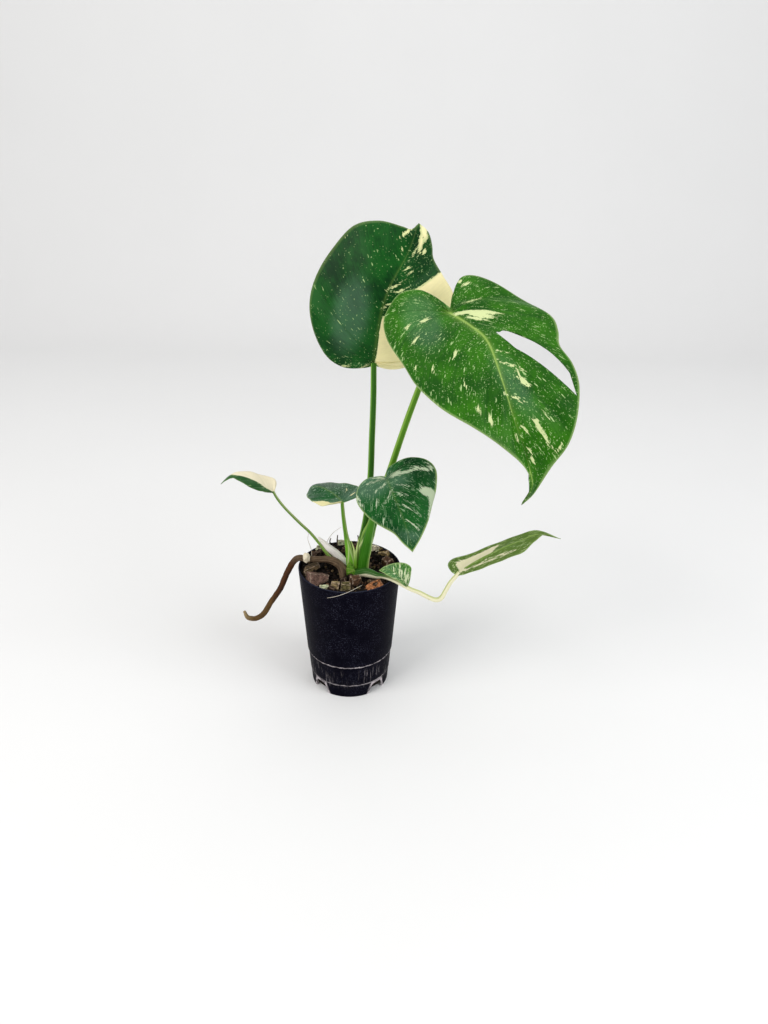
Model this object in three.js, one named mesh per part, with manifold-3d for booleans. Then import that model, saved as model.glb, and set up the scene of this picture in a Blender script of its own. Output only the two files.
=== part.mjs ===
// Young variegated Monstera in a tapered nursery pot. Millimetres, +Z up.
// The origin is the centre of the pot's underside, and -Y is the side that is seen from the front.
import * as THREE from 'three';
import Module from 'manifold-3d';

const wasm = await Module();
wasm.setup();

// Driving dimensions of the pot
const POT_HEIGHT = 131;
const RIM_RADIUS = 50;
const WALL_TAPER = 9.6;
const WALL = 1.5;
const LEDGE_HEIGHT = 39;
const LEDGE_DEPTH = 0.8;
const FOOT_BAND_HEIGHT = 15;
const FOOT_BAND_DEPTH = 0.4;
const STEP_SLOPE = 0.6;
const FOOT_RING_WIDTH = 2;
const FLOOR_UNDERSIDE = 4;
const FLOOR_THICKNESS = 1.6;
const CENTRE_BOSS_RADIUS = 6;
const NOTCH_COUNT = 4;
const NOTCH_HEIGHT = 12;
const NOTCH_BOTTOM_WIDTH = 20;
const NOTCH_SHOULDER_WIDTH = 13;
const NOTCH_SHOULDER_HEIGHT = 10;
const NOTCH_TOP_WIDTH = 11;
const NOTCH_INNER_RADIUS = 33;
const NOTCH_OUTER_RADIUS = 50;
const POT_SEGMENTS = 48;

// Driving dimensions of the potting mix
const MIX_FRONT_LEVEL = 124.5;
const MIX_BACK_RISE = 7.5;
const MIX_LUMP = 1.3;
const MIX_RINGS = 9;
const MIX_SECTORS = 36;
const CHIP_COUNT = 26;
const CHIP_SEED = 7;
const CHIP_TILT = 0.35;
const CHIP_RISE = 0.12;
const CHIP_FIELD_INNER = 10;
const CHIP_FIELD_WIDTH = 31;

// Driving dimensions of the plant
const CLEARANCE = 0.3;
const BLADE_THICKNESS = 0.9;
const SHEET_WELD = 0.9;
const SLIVER_TOLERANCE = 0.02;
const CROWN_RADIUS = 11;
const CROWN_BOTTOM = 96;
const CROWN_TOP = 130;
const CROWN_CENTRE = [6, -3];
const CROWN_ROUNDING = 4;
const CROWN_SEGMENTS = 20;
const PETIOLE_SIDES = 10;
const PETIOLE_STEP = 9;

// Each leaf blade is given by its midrib, from the petiole to the tip, by the sinus behind the petiole,
// and by its left and right margins, from the sinus to the tip. Left and right are those of someone who
// looks at the upper face with the tip ahead. Ribs run from the midrib to the margin: fan is the share of
// the margin that is fed from the petiole itself, sweep sets how late the others leave the midrib, bow how
// far they arch back towards the petiole, and dome how far the blade swells between midrib and margin.
const LEAVES = {
  tall: {
    colour: 0x1f4a2a,
    midrib: [[22, 2, 334], [27, 5, 371], [35, 10, 396], [49, 18, 421], [58, 25, 445]],
    sinus: [23, 3, 330],
    left: [[13, 3, 328], [-4, 6, 327], [-20, 13, 336], [-32, 20, 358], [-33, 27, 389], [-18, 32, 418],
      [2, 33, 440], [24, 31, 446], [44, 27, 442], [52, 25, 440]],
    right: [[38, 9, 325], [56, 16, 329], [77, 24, 343], [90, 31, 363], [91, 35, 385], [80, 34, 402],
      [72, 32, 416], [70, 30, 426], [66, 27, 438]],
    upBase: [0, -1, 0.1],
    upTip: [-0.2, -1, 0.1],
    dome: 0.06,
    fan: 0.42,
    sweep: 1.4,
    bow: 0.1,
    ribs: 20,
    columns: 5,
  },
  split: {
    colour: 0x2f6b27,
    midrib: [[84, -20, 381], [99, -35, 375], [112, -52, 366], [122, -80, 342], [132, -98, 314],
      [145, -106, 280], [148, -105, 265], [143, -97, 246]],
    sinus: [84, -17, 385],
    left: [[89, 0, 396], [94, 13, 404], [106, 16, 405], [127, 11, 398], [150, -2, 387], [167, -19, 379],
      [171, -32, 371], [171, -44, 362], [179, -59, 351], [183, -74, 338], [180, -91, 319], [173, -102, 300],
      [161, -107, 283], [151, -101, 258]],
    right: [[73, -8, 391], [60, -2, 396], [44, -4, 393], [34, -17, 384], [30, -31, 375], [34, -47, 363],
      [46, -68, 351], [57, -88, 339], [74, -98, 327], [97, -105, 315], [120, -108, 301], [138, -108, 286],
      [146, -106, 272], [147, -103, 260]],
    upBase: [0.1, -0.5, 0.85],
    upTip: [0.1, -1, 0.25],
    dome: 0.05,
    fan: 0.36,
    sweep: 2,
    bow: 0.15,
    ribs: 26,
    columns: 11,
    split: { rib: 17, columns: [0, 0.14, 0.28, 0.33, 0.43, 0.56, 0.7, 0.82, 0.9, 0.95, 0.98, 1],
      start: 2, halfWidth: 0.06, tipEdge: 0.016, reach: 0.22, rounding: 8 },
  },
  heart: {
    colour: 0x245a30,
    midrib: [[35, -36, 239], [43, -44, 223], [51, -50, 205], [56, -54, 189], [59, -56, 178]],
    sinus: [34, -35, 242],
    left: [[36, -30, 248], [46, -27, 254], [59, -24, 256], [71, -21, 252], [79, -24, 243], [79, -32, 231],
      [75, -42, 215], [69, -51, 197]],
    right: [[26, -35, 242], [17, -38, 240], [10, -42, 234], [9, -47, 223], [16, -51, 213], [27, -53, 204],
      [41, -54, 196], [49, -56, 188]],
    upBase: [0.1, -0.6, 0.8],
    upTip: [0, -1, 0.2],
    dome: 0.06,
    fan: 0.42,
    sweep: 1.4,
    bow: 0.1,
    ribs: 18,
    columns: 5,
  },
  small: {
    colour: 0x245230,
    midrib: [[-6, -8, 204], [-15, 4, 206], [-27, 18, 206], [-37, 28, 201], [-43, 33, 192]],
    sinus: [-6, -9, 202.5],
    left: [[-15, -15, 205], [-24, -14, 202], [-33, -6, 202], [-39, 6, 200], [-42, 20, 196]],
    right: [[1, -8, 205], [8, -4, 207], [11, 8, 209], [2, 24, 207], [-14, 38, 202], [-29, 44, 199],
      [-39, 40, 197]],
    upBase: [0, -0.35, 0.9],
    upTip: [-0.5, 0, 0.8],
    dome: 0.05,
    fan: 0.42,
    sweep: 1.4,
    bow: 0.1,
    ribs: 14,
    columns: 4,
  },
  outer: {
    colour: 0x6d8a4a,
    midrib: [[-72, 6, 206], [-82, 4, 214], [-93, 2, 221], [-105, 0, 225], [-113, -1, 222], [-119, -2, 217]],
    sinus: [-71, 6, 205.5],
    left: [[-77, -2, 210], [-86, -7, 214], [-94, -8, 219], [-102, -6, 223], [-109, -4, 224]],
    right: [[-70, 15, 210], [-73, 20, 214], [-84, 22, 216], [-96, 19, 221], [-105, 13, 223], [-111, 6, 223]],
    upBase: [0.1, -0.5, 0.8],
    upTip: [-0.6, 0, 0.8],
    dome: 0.06,
    fan: 0.3,
    sweep: 1.2,
    bow: 0.08,
    ribs: 14,
    columns: 4,
  },
  low: {
    colour: 0x4f6e35,
    midrib: [[102, -52, 156], [119, -49, 167], [138, -45, 176], [156, -40, 182], [173, -36, 187],
      [195, -32, 181]],
    sinus: [101, -54, 153.5],
    left: [[107, -57, 157], [121, -60, 165], [140, -58, 173], [158, -52, 178], [169, -43, 184],
      [180, -36, 188]],
    right: [[95, -50, 155], [92, -44, 159], [97, -38, 162], [111, -35, 165], [133, -32, 174],
      [152, -31, 182], [167, -32, 189], [178, -33, 189]],
    upBase: [0.2, 0.6, -0.7],
    upTip: [0.2, 0.6, -0.7],
    dome: 0.05,
    fan: 0.3,
    sweep: 1.2,
    bow: 0.06,
    ribs: 16,
    columns: 4,
  },
  wing: {
    colour: 0x4d8248,
    midrib: [[55.5, -41, 133.5], [50, -38, 140], [43, -34, 144.5], [36, -30, 145], [29, -26, 141]],
    sinus: [56.5, -41.5, 132.5],
    left: [[48, -42, 140], [40, -39, 142], [34, -33, 142]],
    right: [[58, -41, 146], [59, -38, 152], [52, -35, 155], [43, -31, 152], [35, -28, 147]],
    upBase: [0, -0.8, 0.6],
    upTip: [0, -0.7, 0.7],
    dome: 0.05,
    fan: 0.3,
    sweep: 1.2,
    bow: 0.06,
    ribs: 10,
    columns: 3,
  },
};

// Each petiole runs from the crown to its blade. Radii are given at the same points as the path.
// A sheath is a second, wider stalk that has grown together with the lower part.
const PETIOLES = {
  tall: {
    colour: 0x4f8f2e,
    path: [[6, 3, 120], [8, 4, 138], [11, 4, 154], [14, 4, 168], [17, 3, 190], [20, 1, 226], [21, 0, 262],
      [22, 1, 300], [22, 2, 331]],
    radii: [3.4, 3.4, 3.4, 3.3, 3, 2.9, 2.8, 2.7, 2.5],
  },
  split: {
    colour: 0x6fae3a,
    path: [[12, -3, 120], [13, -3, 140], [15, -3, 153], [18.5, -3.5, 168], [22, -4, 179], [28, -5, 200],
      [37.5, -7, 234], [47, -9, 268], [56.5, -11.5, 300], [67, -14.5, 332], [78.5, -18, 361], [84, -19, 380]],
    radii: [5.6, 6.1, 6.4, 6.1, 4.7, 3.6, 3.1, 2.9, 2.8, 2.7, 2.4, 2.1],
  },
  heart: {
    colour: 0x3f7d2c,
    path: [[12, -8, 121], [13, -9, 135], [14, -9, 144], [16, -9, 154], [19, -9.5, 171], [21.5, -11, 182],
      [24, -17, 198], [28, -28, 221], [33, -35, 239]],
    radii: [4, 4.4, 4.6, 4.5, 4, 3.2, 2.2, 1.8, 1.6],
  },
  small: {
    colour: 0x6aa43c,
    path: [[2, -6, 120], [1.8, -6, 128], [1, -6, 142], [-0.6, -6.5, 155], [-3, -7, 170], [-5, -7.5, 188],
      [-6, -8, 203]],
    radii: [3.7, 4, 4.1, 3.2, 2.1, 1.8, 1.6],
  },
  outer: {
    colour: 0x86ab62,
    path: [[-2, 1, 121], [-11, 2, 130], [-21, 3, 140.5], [-29.5, 5, 152], [-38, 6, 163], [-48, 7, 173],
      [-61, 7, 188], [-68, 7, 198], [-71.5, 6, 205.5]],
    radii: [1.8, 1.6, 1.5, 1.4, 1.4, 1.4, 1.3, 1.3, 1.2],
    sheath: {
      path: [[0, 1, 123], [-3, 1, 129.5], [-6, 2, 134], [-13, 4, 141], [-20, 4.5, 147], [-26, 5.5, 153.5],
        [-31, 6, 159]],
      radii: [3.4, 3.8, 4, 3.8, 3.2, 2, 0.8],
    },
  },
  low: {
    colour: 0xa9bf7d,
    path: [[6, -9, 127], [15, -15, 132], [21, -19, 133.3], [27, -23, 133.7], [33, -26.5, 135], [43, -33, 135],
      [58, -42, 131.3], [67, -47, 130.4], [76, -51, 127.6], [82.5, -53, 126.6], [87, -53.5, 129.4],
      [90.5, -53.5, 137], [94.5, -53, 145.5], [102, -52, 155.5]],
    radii: [4.4, 4.6, 4.3, 3.2, 2.3, 2, 1.9, 2, 2.1, 2.3, 2.3, 2.1, 2, 1.9],
  },
};

// The aerial root leaves the crown, lies over the rim and hangs down beside the pot
const AERIAL_ROOT = {
  colour: 0x5a3a26,
  path: [[2, -8, 122], [-5, -9, 131], [-10, -8, 136.5], [-15, -7, 139.7], [-22, -6, 140.5], [-30, -5, 140],
    [-40, -4, 139.5], [-49, -3, 140], [-55, -1, 134], [-62, 0, 120], [-69, 0, 103], [-79, 0, 87],
    [-87, 0, 73], [-95, -1, 67.5], [-103, -2, 69], [-106, -3, 77]],
  radii: [4.2, 4.2, 4.1, 3.8, 3.3, 3, 2.9, 3.1, 3.1, 3, 2.9, 2.8, 2.8, 2.6, 2.4, 1.6],
};
const SIDE_ROOT = {
  path: [[-10, -8.5, 137], [-8, -12, 134], [-6.5, -15, 128], [-6, -17, 121]],
  radii: [3, 3, 2.6, 2],
};
const ROOT_BUD = { centre: [-41, -8.5, 143.5], radii: [3.4, 3, 5] };

// Larger pieces of bark and pumice lie where they show: centre on the mix, size, and turn about Z
const CHIPS = [
  { at: [-30, -22], size: [19, 13, 12], turn: 0.35 },
  { at: [-37, -6], size: [17, 9, 7], turn: 0.5 },
  { at: [-22, -36], size: [9, 6, 6], turn: 0.2 },
  { at: [-12, -33], size: [8, 7, 9], turn: -0.1 },
  { at: [-2, -35], size: [9, 8, 8], turn: 0.1 },
  { at: [7, -25], size: [10, 9, 7], turn: 0.4 },
  { at: [24, -32], size: [19, 10, 6], turn: 0.45 },
  { at: [25, 32], size: [8, 7, 9], turn: 0.6 },
  { at: [34, 25], size: [10, 6, 7], turn: -0.7 },
  { at: [37, 8], size: [11, 8, 7], turn: 0.9 },
  { at: [-31, 31], size: [8, 6, 7], turn: 0.8 },
  { at: [-10, 41], size: [8, 6, 7], turn: 0.1 },
];

const plant = new THREE.Group();

function vector(point) {
  return new THREE.Vector3(...point);
}

function curveThrough(points) {
  return new THREE.CatmullRomCurve3(points.map(vector), false, 'catmullrom', 0.5);
}

function mix(a, b, share) {
  return a + (b - a) * share;
}

// A small seeded generator, so that the chips fall the same way each time
function seededDraws(seed) {
  let state = seed;
  return () => {
    state = (state * 16807) % 2147483647;
    return state / 2147483647;
  };
}

// Solids are kept as plain lists of vertices and triangles, with shared vertices merged
class MeshBuilder {
  constructor(weld = 0) {
    this.weld = weld;
    this.positions = [];
    this.lookup = new Map();
    this.triangles = [];
  }

  // Points that lie closer together than the weld distance become one
  vertex(point) {
    const near = this.weld ? this.positions.findIndex((other) => other.distanceTo(point) < this.weld) : -1;
    if (near >= 0) return near;
    const key = [point.x, point.y, point.z].map((value) => Math.round(value * 1000)).join(',');
    if (!this.lookup.has(key)) {
      this.lookup.set(key, this.positions.length);
      this.positions.push(point.clone());
    }
    return this.lookup.get(key);
  }

  triangle(a, b, c) {
    if (a !== b && b !== c && c !== a) this.triangles.push([a, b, c]);
  }

  quad(a, b, c, d) {
    this.triangle(a, b, c);
    this.triangle(a, c, d);
  }

  solid() {
    const vertProperties = new Float32Array(this.positions.flatMap((p) => [p.x, p.y, p.z]));
    const triVerts = new Uint32Array(this.triangles.flat());
    return new wasm.Manifold(new wasm.Mesh({ numProp: 3, vertProperties, triVerts }));
  }
}

function solidFromGeometry(geometry) {
  const builder = new MeshBuilder();
  const position = geometry.getAttribute('position');
  const corner = new THREE.Vector3();
  const count = geometry.index ? geometry.index.count : position.count;
  for (let k = 0; k < count; k += 3) {
    const ids = [0, 1, 2].map((step) => {
      const index = geometry.index ? geometry.index.getX(k + step) : k + step;
      return builder.vertex(corner.fromBufferAttribute(position, index));
    });
    builder.triangle(...ids);
  }
  return builder.solid();
}

// Cutting can leave loose scraps, so only the largest body is kept
function largestBody(solid) {
  const bodies = solid.decompose();
  return bodies.reduce((best, body) => (body.volume() > best.volume() ? body : best));
}

function addPiece(name, solid, colour, roughness) {
  const mesh = solid.getMesh();
  const geometry = new THREE.BufferGeometry();
  geometry.setAttribute('position', new THREE.BufferAttribute(mesh.vertProperties, 3));
  geometry.setIndex(new THREE.BufferAttribute(mesh.triVerts, 1));
  geometry.computeVertexNormals();
  const material = new THREE.MeshStandardMaterial({ color: colour, roughness, metalness: 0 });
  const piece = new THREE.Mesh(geometry, material);
  piece.name = name;
  plant.add(piece);
}

// Leaf blades

function leafCurves(leaf) {
  const tip = leaf.midrib[leaf.midrib.length - 1];
  return {
    midrib: curveThrough(leaf.midrib),
    left: curveThrough([leaf.sinus, ...leaf.left, tip]),
    right: curveThrough([leaf.sinus, ...leaf.right, tip]),
  };
}

// Place on the blade: along is 0 at the sinus and 1 at the tip, across is 0 on the midrib and 1 on the margin
function bladePoint(leaf, curves, side, along, across) {
  const share = Math.min(Math.max((along - leaf.fan) / (1 - leaf.fan), 0), 1) ** leaf.sweep;
  const foot = curves.midrib.getPointAt(share);
  const ahead = curves.midrib.getTangentAt(share);
  const chord = curves[side].getPointAt(along).sub(foot);
  const up = vector(leaf.upBase).lerp(vector(leaf.upTip), share).normalize();
  const arch = 4 * across * (1 - across) * chord.length();
  const bow = leaf.bow * Math.min(1, along / leaf.fan);
  return foot.addScaledVector(chord, across)
    .addScaledVector(up, leaf.dome * arch)
    .addScaledVector(ahead, -bow * arch);
}

// The split parts two neighbouring ribs. Its tip side runs straight and its other side is arched.
function partedRib(leaf, rib, across, edge) {
  const { split, ribs } = leaf;
  const along = rib / ribs;
  const [from, to] = [split.columns[split.start], split.columns[leaf.columns - 1]];
  const share = Math.min(Math.max((across - from) / (to - from), 0), 1);
  const offset = (rib - split.rib) / ribs;
  const fade = Math.max(0, 1 - Math.abs(offset) / split.reach);
  const opening = share > 0 && share < 1 ? split.halfWidth * Math.sin(Math.PI * share) ** 0.45 : 0;
  const lead = (split.halfWidth - opening) * Math.max(0, 1 - split.rounding * share);
  const centre = share > 0 ? split.tipEdge - opening - lead
    : (split.tipEdge - split.halfWidth) * across / from;
  const way = offset === 0 ? edge : Math.sign(offset);
  return along + fade * (centre + way * opening);
}

function bladeSolid(leaf, clearance = 0) {
  const curves = leafCurves(leaf);
  const sheet = new MeshBuilder(SHEET_WELD);
  const place = (side, rib, column, edge) => {
    const across = leaf.split ? leaf.split.columns[column] : column / leaf.columns;
    const parted = leaf.split && side === 'left';
    const along = parted ? partedRib(leaf, rib, across, edge) : rib / leaf.ribs;
    return sheet.vertex(bladePoint(leaf, curves, side, along, across));
  };
  for (const side of ['left', 'right']) {
    for (let rib = 0; rib < leaf.ribs; rib += 1) {
      for (let column = 0; column < leaf.columns; column += 1) {
        const a = place(side, rib, column, 1);
        const b = place(side, rib, column + 1, 1);
        const c = place(side, rib + 1, column + 1, -1);
        const d = place(side, rib + 1, column, -1);
        if (side === 'right') sheet.quad(a, b, c, d);
        else sheet.quad(a, d, c, b);
      }
    }
  }
  return thickened(sheet, BLADE_THICKNESS / 2 + clearance, clearance);
}

// Gives a sheet its thickness along its own normals, and can also let its open edges out sideways.
// Each facet becomes a convex cell and the cells are joined, so no walls cross where the sheet folds.
function thickened(sheet, halfThickness, spread) {
  const normals = sheet.positions.map(() => new THREE.Vector3());
  const outward = sheet.positions.map(() => new THREE.Vector3());
  const edges = new Set();
  for (const [a, b, c] of sheet.triangles) {
    const [pa, pb, pc] = [a, b, c].map((index) => sheet.positions[index]);
    const normal = pb.clone().sub(pa).cross(pc.clone().sub(pa));
    for (const index of [a, b, c]) normals[index].add(normal);
    for (const edge of [[a, b], [b, c], [c, a]]) edges.add(edge.join('-'));
  }
  const border = [...edges].map((edge) => edge.split('-').map(Number))
    .filter(([from, to]) => !edges.has([to, from].join('-')));
  for (const [from, to] of border) {
    const along = sheet.positions[to].clone().sub(sheet.positions[from]);
    for (const index of [from, to]) outward[index].add(along.clone().cross(normals[index]).normalize());
  }
  const shifted = (height) => sheet.positions.map((point, index) => point.clone()
    .addScaledVector(normals[index].clone().normalize(), height)
    .addScaledVector(outward[index].clone().normalize(), spread)
    .toArray());
  const top = shifted(halfThickness);
  const bottom = shifted(-halfThickness);
  const cells = sheet.triangles.map((corners) => wasm.Manifold.hull(
    corners.flatMap((index) => [top[index], bottom[index]]),
  ));
  return wasm.Manifold.union(cells).simplify(SLIVER_TOLERANCE);
}

// Petioles and roots

function stalkSolid(stalk, clearance = 0) {
  const path = curveThrough(stalk.path);
  const steps = Math.max(4, Math.round(path.getLength() / PETIOLE_STEP));
  const frames = path.computeFrenetFrames(steps, false);
  const last = stalk.radii.length - 1;
  const builder = new MeshBuilder();
  const rings = [];
  for (let step = 0; step <= steps; step += 1) {
    const share = path.getUtoTmapping(step / steps) * last;
    const index = Math.min(Math.floor(share), last - 1);
    const radius = mix(stalk.radii[index], stalk.radii[index + 1], share - index) + clearance;
    const centre = path.getPointAt(step / steps);
    if (clearance && step === 0) centre.addScaledVector(frames.tangents[0], -clearance);
    const ring = [];
    for (let side = 0; side < PETIOLE_SIDES; side += 1) {
      const angle = (side / PETIOLE_SIDES) * 2 * Math.PI;
      ring.push(builder.vertex(centre.clone()
        .addScaledVector(frames.normals[step], radius * Math.cos(angle))
        .addScaledVector(frames.binormals[step], radius * Math.sin(angle))));
    }
    rings.push({ ring, centre: builder.vertex(centre) });
  }
  for (let side = 0; side < PETIOLE_SIDES; side += 1) {
    const next = (side + 1) % PETIOLE_SIDES;
    for (let step = 0; step < steps; step += 1) {
      const here = rings[step].ring;
      const there = rings[step + 1].ring;
      builder.quad(here[side], here[next], there[next], there[side]);
    }
    builder.triangle(rings[0].centre, rings[0].ring[next], rings[0].ring[side]);
    builder.triangle(rings[steps].centre, rings[steps].ring[side], rings[steps].ring[next]);
  }
  return builder.solid();
}

function sheathedStalk(petiole, clearance = 0) {
  const stalk = stalkSolid(petiole, clearance);
  return petiole.sheath ? stalk.add(stalkSolid(petiole.sheath, clearance)) : stalk;
}

function crownSolid(clearance = 0) {
  const radius = CROWN_RADIUS + clearance;
  const bottom = CROWN_BOTTOM - clearance;
  const top = CROWN_TOP + clearance;
  const profile = [
    [0, bottom],
    [radius - CROWN_ROUNDING, bottom],
    [radius, bottom + CROWN_ROUNDING],
    [radius, top - CROWN_ROUNDING],
    [radius - CROWN_ROUNDING, top],
    [0, top],
  ];
  return solidFromGeometry(turned(profile, CROWN_SEGMENTS).translate(...CROWN_CENTRE, 0));
}

// Pot

function outerRadius(height) {
  const ledge = height < LEDGE_HEIGHT ? LEDGE_DEPTH : 0;
  const band = height < FOOT_BAND_HEIGHT ? FOOT_BAND_DEPTH : 0;
  return RIM_RADIUS - WALL_TAPER * (1 - height / POT_HEIGHT) - ledge - band;
}

function innerRadius(height) {
  return outerRadius(height) - WALL;
}

function turned(profile, segments) {
  const geometry = new THREE.LatheGeometry(profile.map(([r, z]) => new THREE.Vector2(r, z)), segments);
  return geometry.rotateX(Math.PI / 2);
}

function potSolid() {
  const floorTop = FLOOR_UNDERSIDE + FLOOR_THICKNESS;
  const ringInner = outerRadius(0) - FOOT_RING_WIDTH;
  const heights = [0, FOOT_BAND_HEIGHT - STEP_SLOPE, FOOT_BAND_HEIGHT, LEDGE_HEIGHT - STEP_SLOPE, LEDGE_HEIGHT];
  const inside = [POT_HEIGHT - STEP_SLOPE, LEDGE_HEIGHT, LEDGE_HEIGHT - STEP_SLOPE, floorTop];
  const profile = [
    [0, 0],
    [CENTRE_BOSS_RADIUS, 0],
    [CENTRE_BOSS_RADIUS, FLOOR_UNDERSIDE],
    [ringInner, FLOOR_UNDERSIDE],
    [ringInner, 0],
    ...heights.map((z) => [outerRadius(z), z]),
    [outerRadius(POT_HEIGHT - STEP_SLOPE), POT_HEIGHT - STEP_SLOPE],
    [RIM_RADIUS - STEP_SLOPE, POT_HEIGHT],
    [innerRadius(POT_HEIGHT) + STEP_SLOPE / 2, POT_HEIGHT],
    ...inside.map((z) => [innerRadius(z), z]),
    [0, floorTop],
  ];
  let pot = solidFromGeometry(turned(profile, POT_SEGMENTS));
  for (let k = 0; k < NOTCH_COUNT; k += 1) {
    pot = pot.subtract(notchSolid((k + 0.5) * (2 * Math.PI / NOTCH_COUNT)));
  }
  return pot;
}

// A drain notch is an arch with slanting sides, cut through the wall and the outer edge of the floor
function notchSolid(angle) {
  const arch = new THREE.Shape();
  arch.moveTo(-NOTCH_BOTTOM_WIDTH / 2, -1);
  arch.lineTo(NOTCH_BOTTOM_WIDTH / 2, -1);
  arch.lineTo(NOTCH_SHOULDER_WIDTH / 2, NOTCH_SHOULDER_HEIGHT);
  arch.quadraticCurveTo(NOTCH_TOP_WIDTH / 2, NOTCH_HEIGHT, 0, NOTCH_HEIGHT);
  arch.quadraticCurveTo(-NOTCH_TOP_WIDTH / 2, NOTCH_HEIGHT, -NOTCH_SHOULDER_WIDTH / 2, NOTCH_SHOULDER_HEIGHT);
  arch.closePath();
  const depth = NOTCH_OUTER_RADIUS - NOTCH_INNER_RADIUS;
  const geometry = new THREE.ExtrudeGeometry(arch, { depth, bevelEnabled: false, curveSegments: 4 });
  geometry.rotateX(Math.PI / 2);
  geometry.translate(0, -NOTCH_INNER_RADIUS, 0);
  geometry.rotateZ(angle);
  return solidFromGeometry(geometry);
}

// Potting mix

function mixHeight(x, y) {
  const rise = MIX_BACK_RISE * (0.5 + 0.5 * (y / RIM_RADIUS));
  const lumps = Math.sin(x * 0.42 + 1) * Math.cos(y * 0.37) + 0.6 * Math.sin(x * 0.9 - y * 0.8);
  return MIX_FRONT_LEVEL + rise + MIX_LUMP * lumps;
}

function mixSolid() {
  const builder = new MeshBuilder();
  const bottom = FLOOR_UNDERSIDE + FLOOR_THICKNESS + CLEARANCE;
  const around = (radius, height) => {
    const ring = [];
    for (let sector = 0; sector < MIX_SECTORS; sector += 1) {
      const angle = (sector / MIX_SECTORS) * 2 * Math.PI;
      const x = radius * Math.cos(angle);
      const y = radius * Math.sin(angle);
      ring.push(builder.vertex(new THREE.Vector3(x, y, height === null ? mixHeight(x, y) : height)));
    }
    return ring;
  };
  const levels = [bottom, LEDGE_HEIGHT - 1, LEDGE_HEIGHT + 1];
  const rings = levels.map((z) => around(innerRadius(Math.min(z, POT_HEIGHT)) - CLEARANCE, z));
  const edge = innerRadius(MIX_FRONT_LEVEL) - CLEARANCE;
  for (let ring = MIX_RINGS; ring > 0; ring -= 1) rings.push(around((edge * ring) / MIX_RINGS, null));
  const low = builder.vertex(new THREE.Vector3(0, 0, bottom));
  const high = builder.vertex(new THREE.Vector3(0, 0, mixHeight(0, 0)));
  for (let sector = 0; sector < MIX_SECTORS; sector += 1) {
    const next = (sector + 1) % MIX_SECTORS;
    for (let level = 0; level + 1 < rings.length; level += 1) {
      const here = rings[level];
      const there = rings[level + 1];
      builder.quad(here[sector], here[next], there[next], there[sector]);
    }
    const last = rings[rings.length - 1];
    builder.triangle(last[sector], last[next], high);
    builder.triangle(rings[0][next], rings[0][sector], low);
  }
  return builder.solid();
}

// The space inside the wall, so that no chip reaches into it
function insidePot() {
  const heights = [0, LEDGE_HEIGHT - 1, LEDGE_HEIGHT + 1, POT_HEIGHT];
  const wall = heights.map((z) => [innerRadius(z) - CLEARANCE, z]);
  const top = POT_HEIGHT + RIM_RADIUS;
  const profile = [[0, 0], ...wall, [innerRadius(POT_HEIGHT) - CLEARANCE, top], [0, top]];
  return solidFromGeometry(turned(profile, MIX_SECTORS));
}

function chipSolid(x, y, size, turn, tilt) {
  const geometry = new THREE.BoxGeometry(...size);
  geometry.rotateX(tilt[0]);
  geometry.rotateY(tilt[1]);
  geometry.rotateZ(turn);
  geometry.translate(x, y, mixHeight(x, y) + size[2] * CHIP_RISE);
  return solidFromGeometry(geometry);
}

function chippedMix() {
  const draw = seededDraws(CHIP_SEED);
  const tilt = () => [CHIP_TILT * (2 * draw() - 1), CHIP_TILT * (2 * draw() - 1)];
  let body = mixSolid();
  for (const chip of CHIPS) body = body.add(chipSolid(...chip.at, chip.size, chip.turn, tilt()));
  for (let k = 0; k < CHIP_COUNT; k += 1) {
    const radius = CHIP_FIELD_INNER + CHIP_FIELD_WIDTH * Math.sqrt(draw());
    const angle = 2 * Math.PI * draw();
    const size = [4 + 5 * draw(), 3.5 + 3 * draw(), 4 + 2 * draw()];
    body = body.add(chipSolid(radius * Math.cos(angle), radius * Math.sin(angle), size, 3 * draw(), tilt()));
  }
  return body;
}

// Assembly: what is cut by a neighbour keeps the clearance to it

const blades = {};
const clearBlades = {};
for (const [name, leaf] of Object.entries(LEAVES)) {
  blades[name] = bladeSolid(leaf);
  clearBlades[name] = bladeSolid(leaf, CLEARANCE);
}

const seated = [];
for (const [name, petiole] of Object.entries(PETIOLES)) {
  let solid = sheathedStalk(petiole).subtract(clearBlades[name]);
  for (const other of seated) solid = solid.subtract(other.clear);
  const clear = sheathedStalk(petiole, CLEARANCE);
  seated.push({ name, colour: petiole.colour, solid: largestBody(solid), clear });
}

const clearStalks = seated.map((petiole) => petiole.clear);
const carrier = seated.find((petiole) => petiole.name === 'low');
blades.wing = largestBody(blades.wing.subtract(carrier.clear));

let root = stalkSolid(AERIAL_ROOT).add(stalkSolid(SIDE_ROOT));
for (const clear of clearStalks) root = root.subtract(clear);
root = largestBody(root);
const clearRoots = [stalkSolid(AERIAL_ROOT, CLEARANCE), stalkSolid(SIDE_ROOT, CLEARANCE)];

let crown = crownSolid();
for (const clear of [...clearStalks, ...clearRoots]) crown = crown.subtract(clear);

let pottingMix = chippedMix();
for (const clear of [crownSolid(CLEARANCE), ...clearStalks, ...clearRoots]) {
  pottingMix = pottingMix.subtract(clear);
}
pottingMix = largestBody(pottingMix.intersect(insidePot()));

const bud = new THREE.SphereGeometry(1, 12, 8);
bud.scale(...ROOT_BUD.radii);
bud.translate(...ROOT_BUD.centre);
const rootBud = largestBody(solidFromGeometry(bud).subtract(clearRoots[0]).subtract(pottingMix));

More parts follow.
